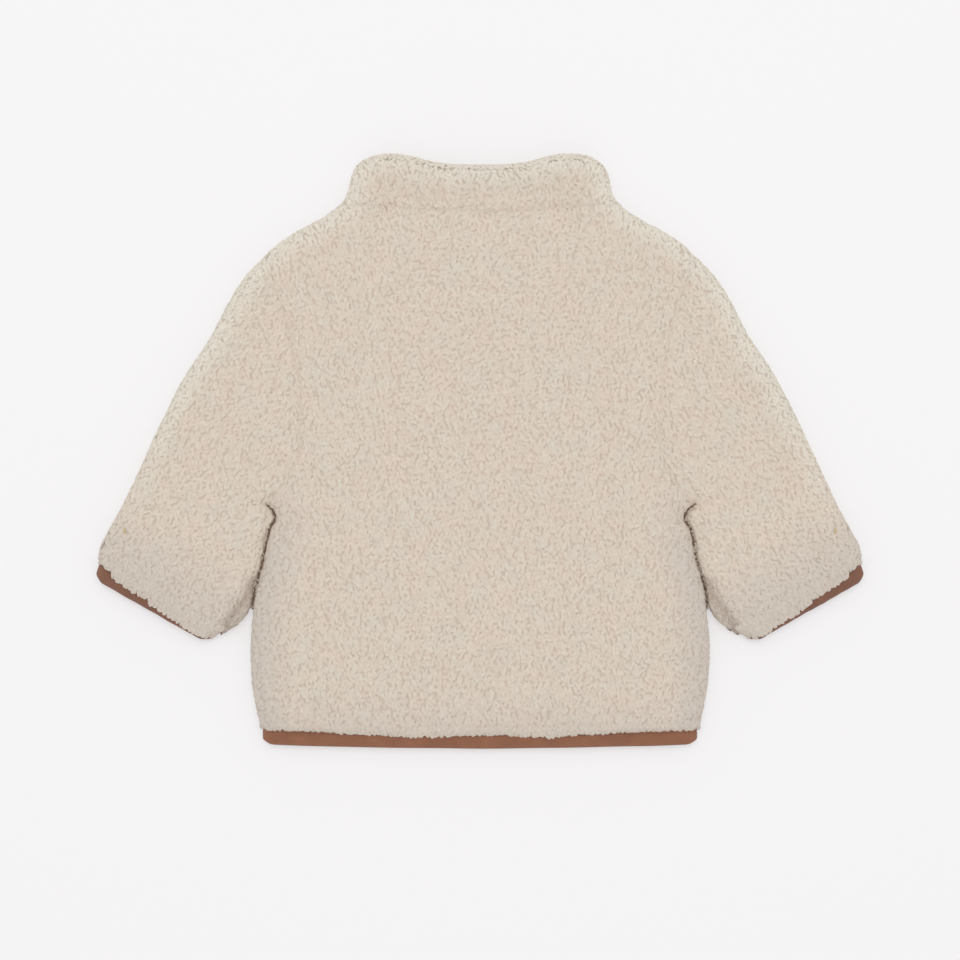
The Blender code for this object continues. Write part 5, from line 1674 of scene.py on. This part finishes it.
def cuff_binding(name, way, seed):
    """A closed loop round the end of a sleeve."""
    reach = CUFF_BINDING_HALF - BOUND_HALF
    row = np.concatenate(
        [TURN - reach, np.linspace(TURN[-1] - reach, reach - TURN[-1], 50)[1:-1], reach - TURN[::-1]]
    )
    across = np.concatenate([row, row[-2:0:-1]])
    is_upper = np.arange(len(across)) < len(row)
    # The cuff tape takes the jersey's darker copy, painted in shade.
    return binding(
        name, across, is_upper, CUFF_BINDING_HALF, cuff_place(way), True, seed, SHADED_KNIT,
        flare=2.4,
    )


hem_binding()
cuff_binding("cuff_binding_left", -1, 22)
cuff_binding("cuff_binding_right", 1, 23)


# ---------------------------------------------------------------- the zip
def loft(name, rings, finish, slot, sharp=40.0, marks=None):
    """A solid through many rings of points at once: rings has the solids, their rings and the points of a
    ring. Each end is closed by a fan round its middle.
    """
    solids, stations, count = rings.shape[:3]
    ends = rings[:, (0, -1)].mean(axis=2)
    points = np.concatenate([rings.reshape(solids, -1, 3), ends], axis=1)
    j = np.arange(count)
    k = (j + 1) % count
    last = (stations - 1) * count
    low, high = stations * count, stations * count + 1
    fans = np.concatenate([np.stack([low + 0 * j, k, j], 1), np.stack([high + 0 * j, last + j, last + k], 1)])
    first = np.arange(solids)[:, None, None] * points.shape[1]
    faces = [(first + grid_quads(stations, count, True)).reshape(-1, 4), (first + fans).reshape(-1, 3)]
    return make_piece(name, points.reshape(-1, 3), faces, finish, slot, sharp=sharp, marks=marks)


def zip_side(name, way):
    """One side of the zip: a woven tape with a corded edge, and its row of teeth. Their heights shrink
    towards the hem as the cloth's do.
    """
    along = np.linspace(ZIP_BOTTOM, ZIP_TOP, 150)
    kept = squeeze(np.stack([0 * along, along], axis=1), BODY_FOLDS)
    edge = CHAIN_HALF - 0.6
    section = np.array((
        (edge, TAPE_HIGH - 0.1),
        (edge + 0.1, TAPE_LOW),
        (edge + 0.9, TAPE_LOW - 0.35),
        (edge + 1.9, TAPE_LOW + 0.1),
        (8.0, TAPE_LOW + 0.15),
        (TAPE_EDGE - 0.2, TAPE_LOW + 0.1),
        (TAPE_EDGE, TAPE_LOW + 0.4),
        (TAPE_EDGE - 0.2, TAPE_HIGH - 0.15),
        (8.0, TAPE_HIGH - 0.1),
        (edge + 1.9, TAPE_HIGH - 0.1),
    ))
    rings = np.stack([
        way * np.broadcast_to(section[:, 0], (150, 10)),
        np.broadcast_to(along[:, None], (150, 10)),
        section[:, 1] * kept[:, None],
    ], axis=-1)[None]
    flat = np.stack([rings[..., 0], rings[..., 1], 0 * rings[..., 0]], -1).reshape(-1, 3)
    cloth = np.concatenate([flat, np.zeros((2, 3))]) * MM
    tape = loft(name + "_weave", rings, TAPE_WEAVE, "zip_tape", marks={"cloth": cloth})
    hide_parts(name)
    count = int((ZIP_TOP - ZIP_BOTTOM - 6) / TOOTH_PITCH)
    places = ZIP_BOTTOM + 3 + TOOTH_PITCH * (np.arange(count) + (0.5 if way > 0 else 0.0))
    kept = squeeze(np.stack([0 * places, places], axis=1), BODY_FOLDS)
    across = np.array((-0.75, -0.35, 0.5, CHAIN_HALF))
    thick = np.array((0.25, 0.42, 0.5, 0.62))
    tall = np.array((0.5, 0.85, 1.15, 1.2))
    corner = np.array(((-1, -1), (1, -1), (1, 1), (-1, 1)))
    x = np.broadcast_to(across[None, :, None], (count, 4, 4)) * way
    y = places[:, None, None] + thick[None, :, None] * corner[None, None, :, 0]
    z = (
        (0.5 * (CHAIN_LOW + TAPE_LOW) + 0.1 + tall[None, :, None] * corner[None, None, :, 1])
        * kept[:, None, None]
    )
    teeth = loft(name + "_teeth", np.stack([x, y, z], axis=-1), BRASS, "zip_metal", sharp=0)
    return tape


zip_side("zip_tape_left", -1)
zip_side("zip_tape_right", 1)
for node in ("zip_slider", "zip_box", "zip_pull"):
    for place in bpy.data.objects[node].material_slots:
        place.material = BRASS


# ---------------------------------------------------------------- thread marks
def thread_marks():
    """A small bar of three stitches across the outer fold of each sleeve, near the cuff."""
    rng = np.random.default_rng(41)
    spot = np.array(THREAD_MARK)
    top = float(over(spot, SLEEVE_FOLDS)) + 0.1
    offsets = np.array((-0.42, 0.0, 0.42))
    roots = np.array([(side * (spot[0] + o), spot[1] + 0.3 * o, top) for side in (-1, 1) for o in offsets])
    up = np.tile((0.0, 0.0, 1.0), (6, 1))
    flow = np.tile((0.0, 1.0, 0.0), (6, 1))
    one = np.ones(6)
    return curls(
        "thread_marks", roots, up, flow, (3.6 * one, 0.6 * one, 0.25 * one), 6, OCHRE_THREAD, "binding", rng,
        straight=True,
    )


thread_marks()


# ---------------------------------------------------------------- floor, light and camera
def floor():
    """A pale plane just below the jacket, which shines a little, as a lit backdrop does."""
    mesh = bpy.data.meshes.new("floor")
    mesh.from_pydata([(-3, -3, 0), (3, -3, 0), (3, 3, 0), (-3, 3, 0)], [], [(0, 1, 2, 3)])
    made, _, shader = new_finish("pale_floor")
    shader.inputs["Base Color"].default_value = (0.5, 0.497, 0.5, 1)
    shader.inputs["Emission Color"].default_value = (0.5, 0.491, 0.496, 1)
    shader.inputs["Emission Strength"].default_value = 0.85
    shader.inputs["Roughness"].default_value = 0.9
    shader.inputs["Specular IOR Level"].default_value = 0.1
    mesh.materials.append(made)
    plane = bpy.data.objects.new("floor", mesh)
    bpy.context.scene.collection.objects.link(plane)
    plane.location.z = -0.0002


def soft_light(name, place, size, power, aim=(0.0, 0.0, 0.0)):
    """A square light at a place, turned to face the aim."""
    lamp = bpy.data.lights.new(name, "AREA")
    lamp.size, lamp.energy = size, power
    made = bpy.data.objects.new(name, lamp)
    made.location = place
    way = np.array(aim) - np.array(place)
    made.rotation_euler = (
        math.atan2(math.hypot(way[0], way[1]), -way[2]), 0.0, math.atan2(way[0], -way[1]) + math.pi
    )
    bpy.context.scene.collection.objects.link(made)


def sky(strength):
    """Even white light from all round."""
    world = bpy.data.worlds.new("soft_sky")
    world.use_nodes = True
    world.node_tree.nodes["Background"].inputs["Color"].default_value = (1.0, 0.995, 1.0, 1)
    world.node_tree.nodes["Background"].inputs["Strength"].default_value = strength
    bpy.context.scene.world = world


def camera():
    """Straight above, where the jacket has the size and place that it has in the photograph."""
    lens = bpy.data.cameras.new("camera")
    lens.lens, lens.sensor_width = 85.0, 36.0
    made = bpy.data.objects.new("camera", lens)
    made.location = (0.0, -0.0174, 1.4967)
    bpy.context.scene.collection.objects.link(made)
    bpy.context.scene.camera = made


floor()
sky(0.75)
soft_light("window", (0.0, 0.7, 3.0), 1.5, 27.0)
camera()
bpy.context.scene.view_settings.view_transform = "Standard"
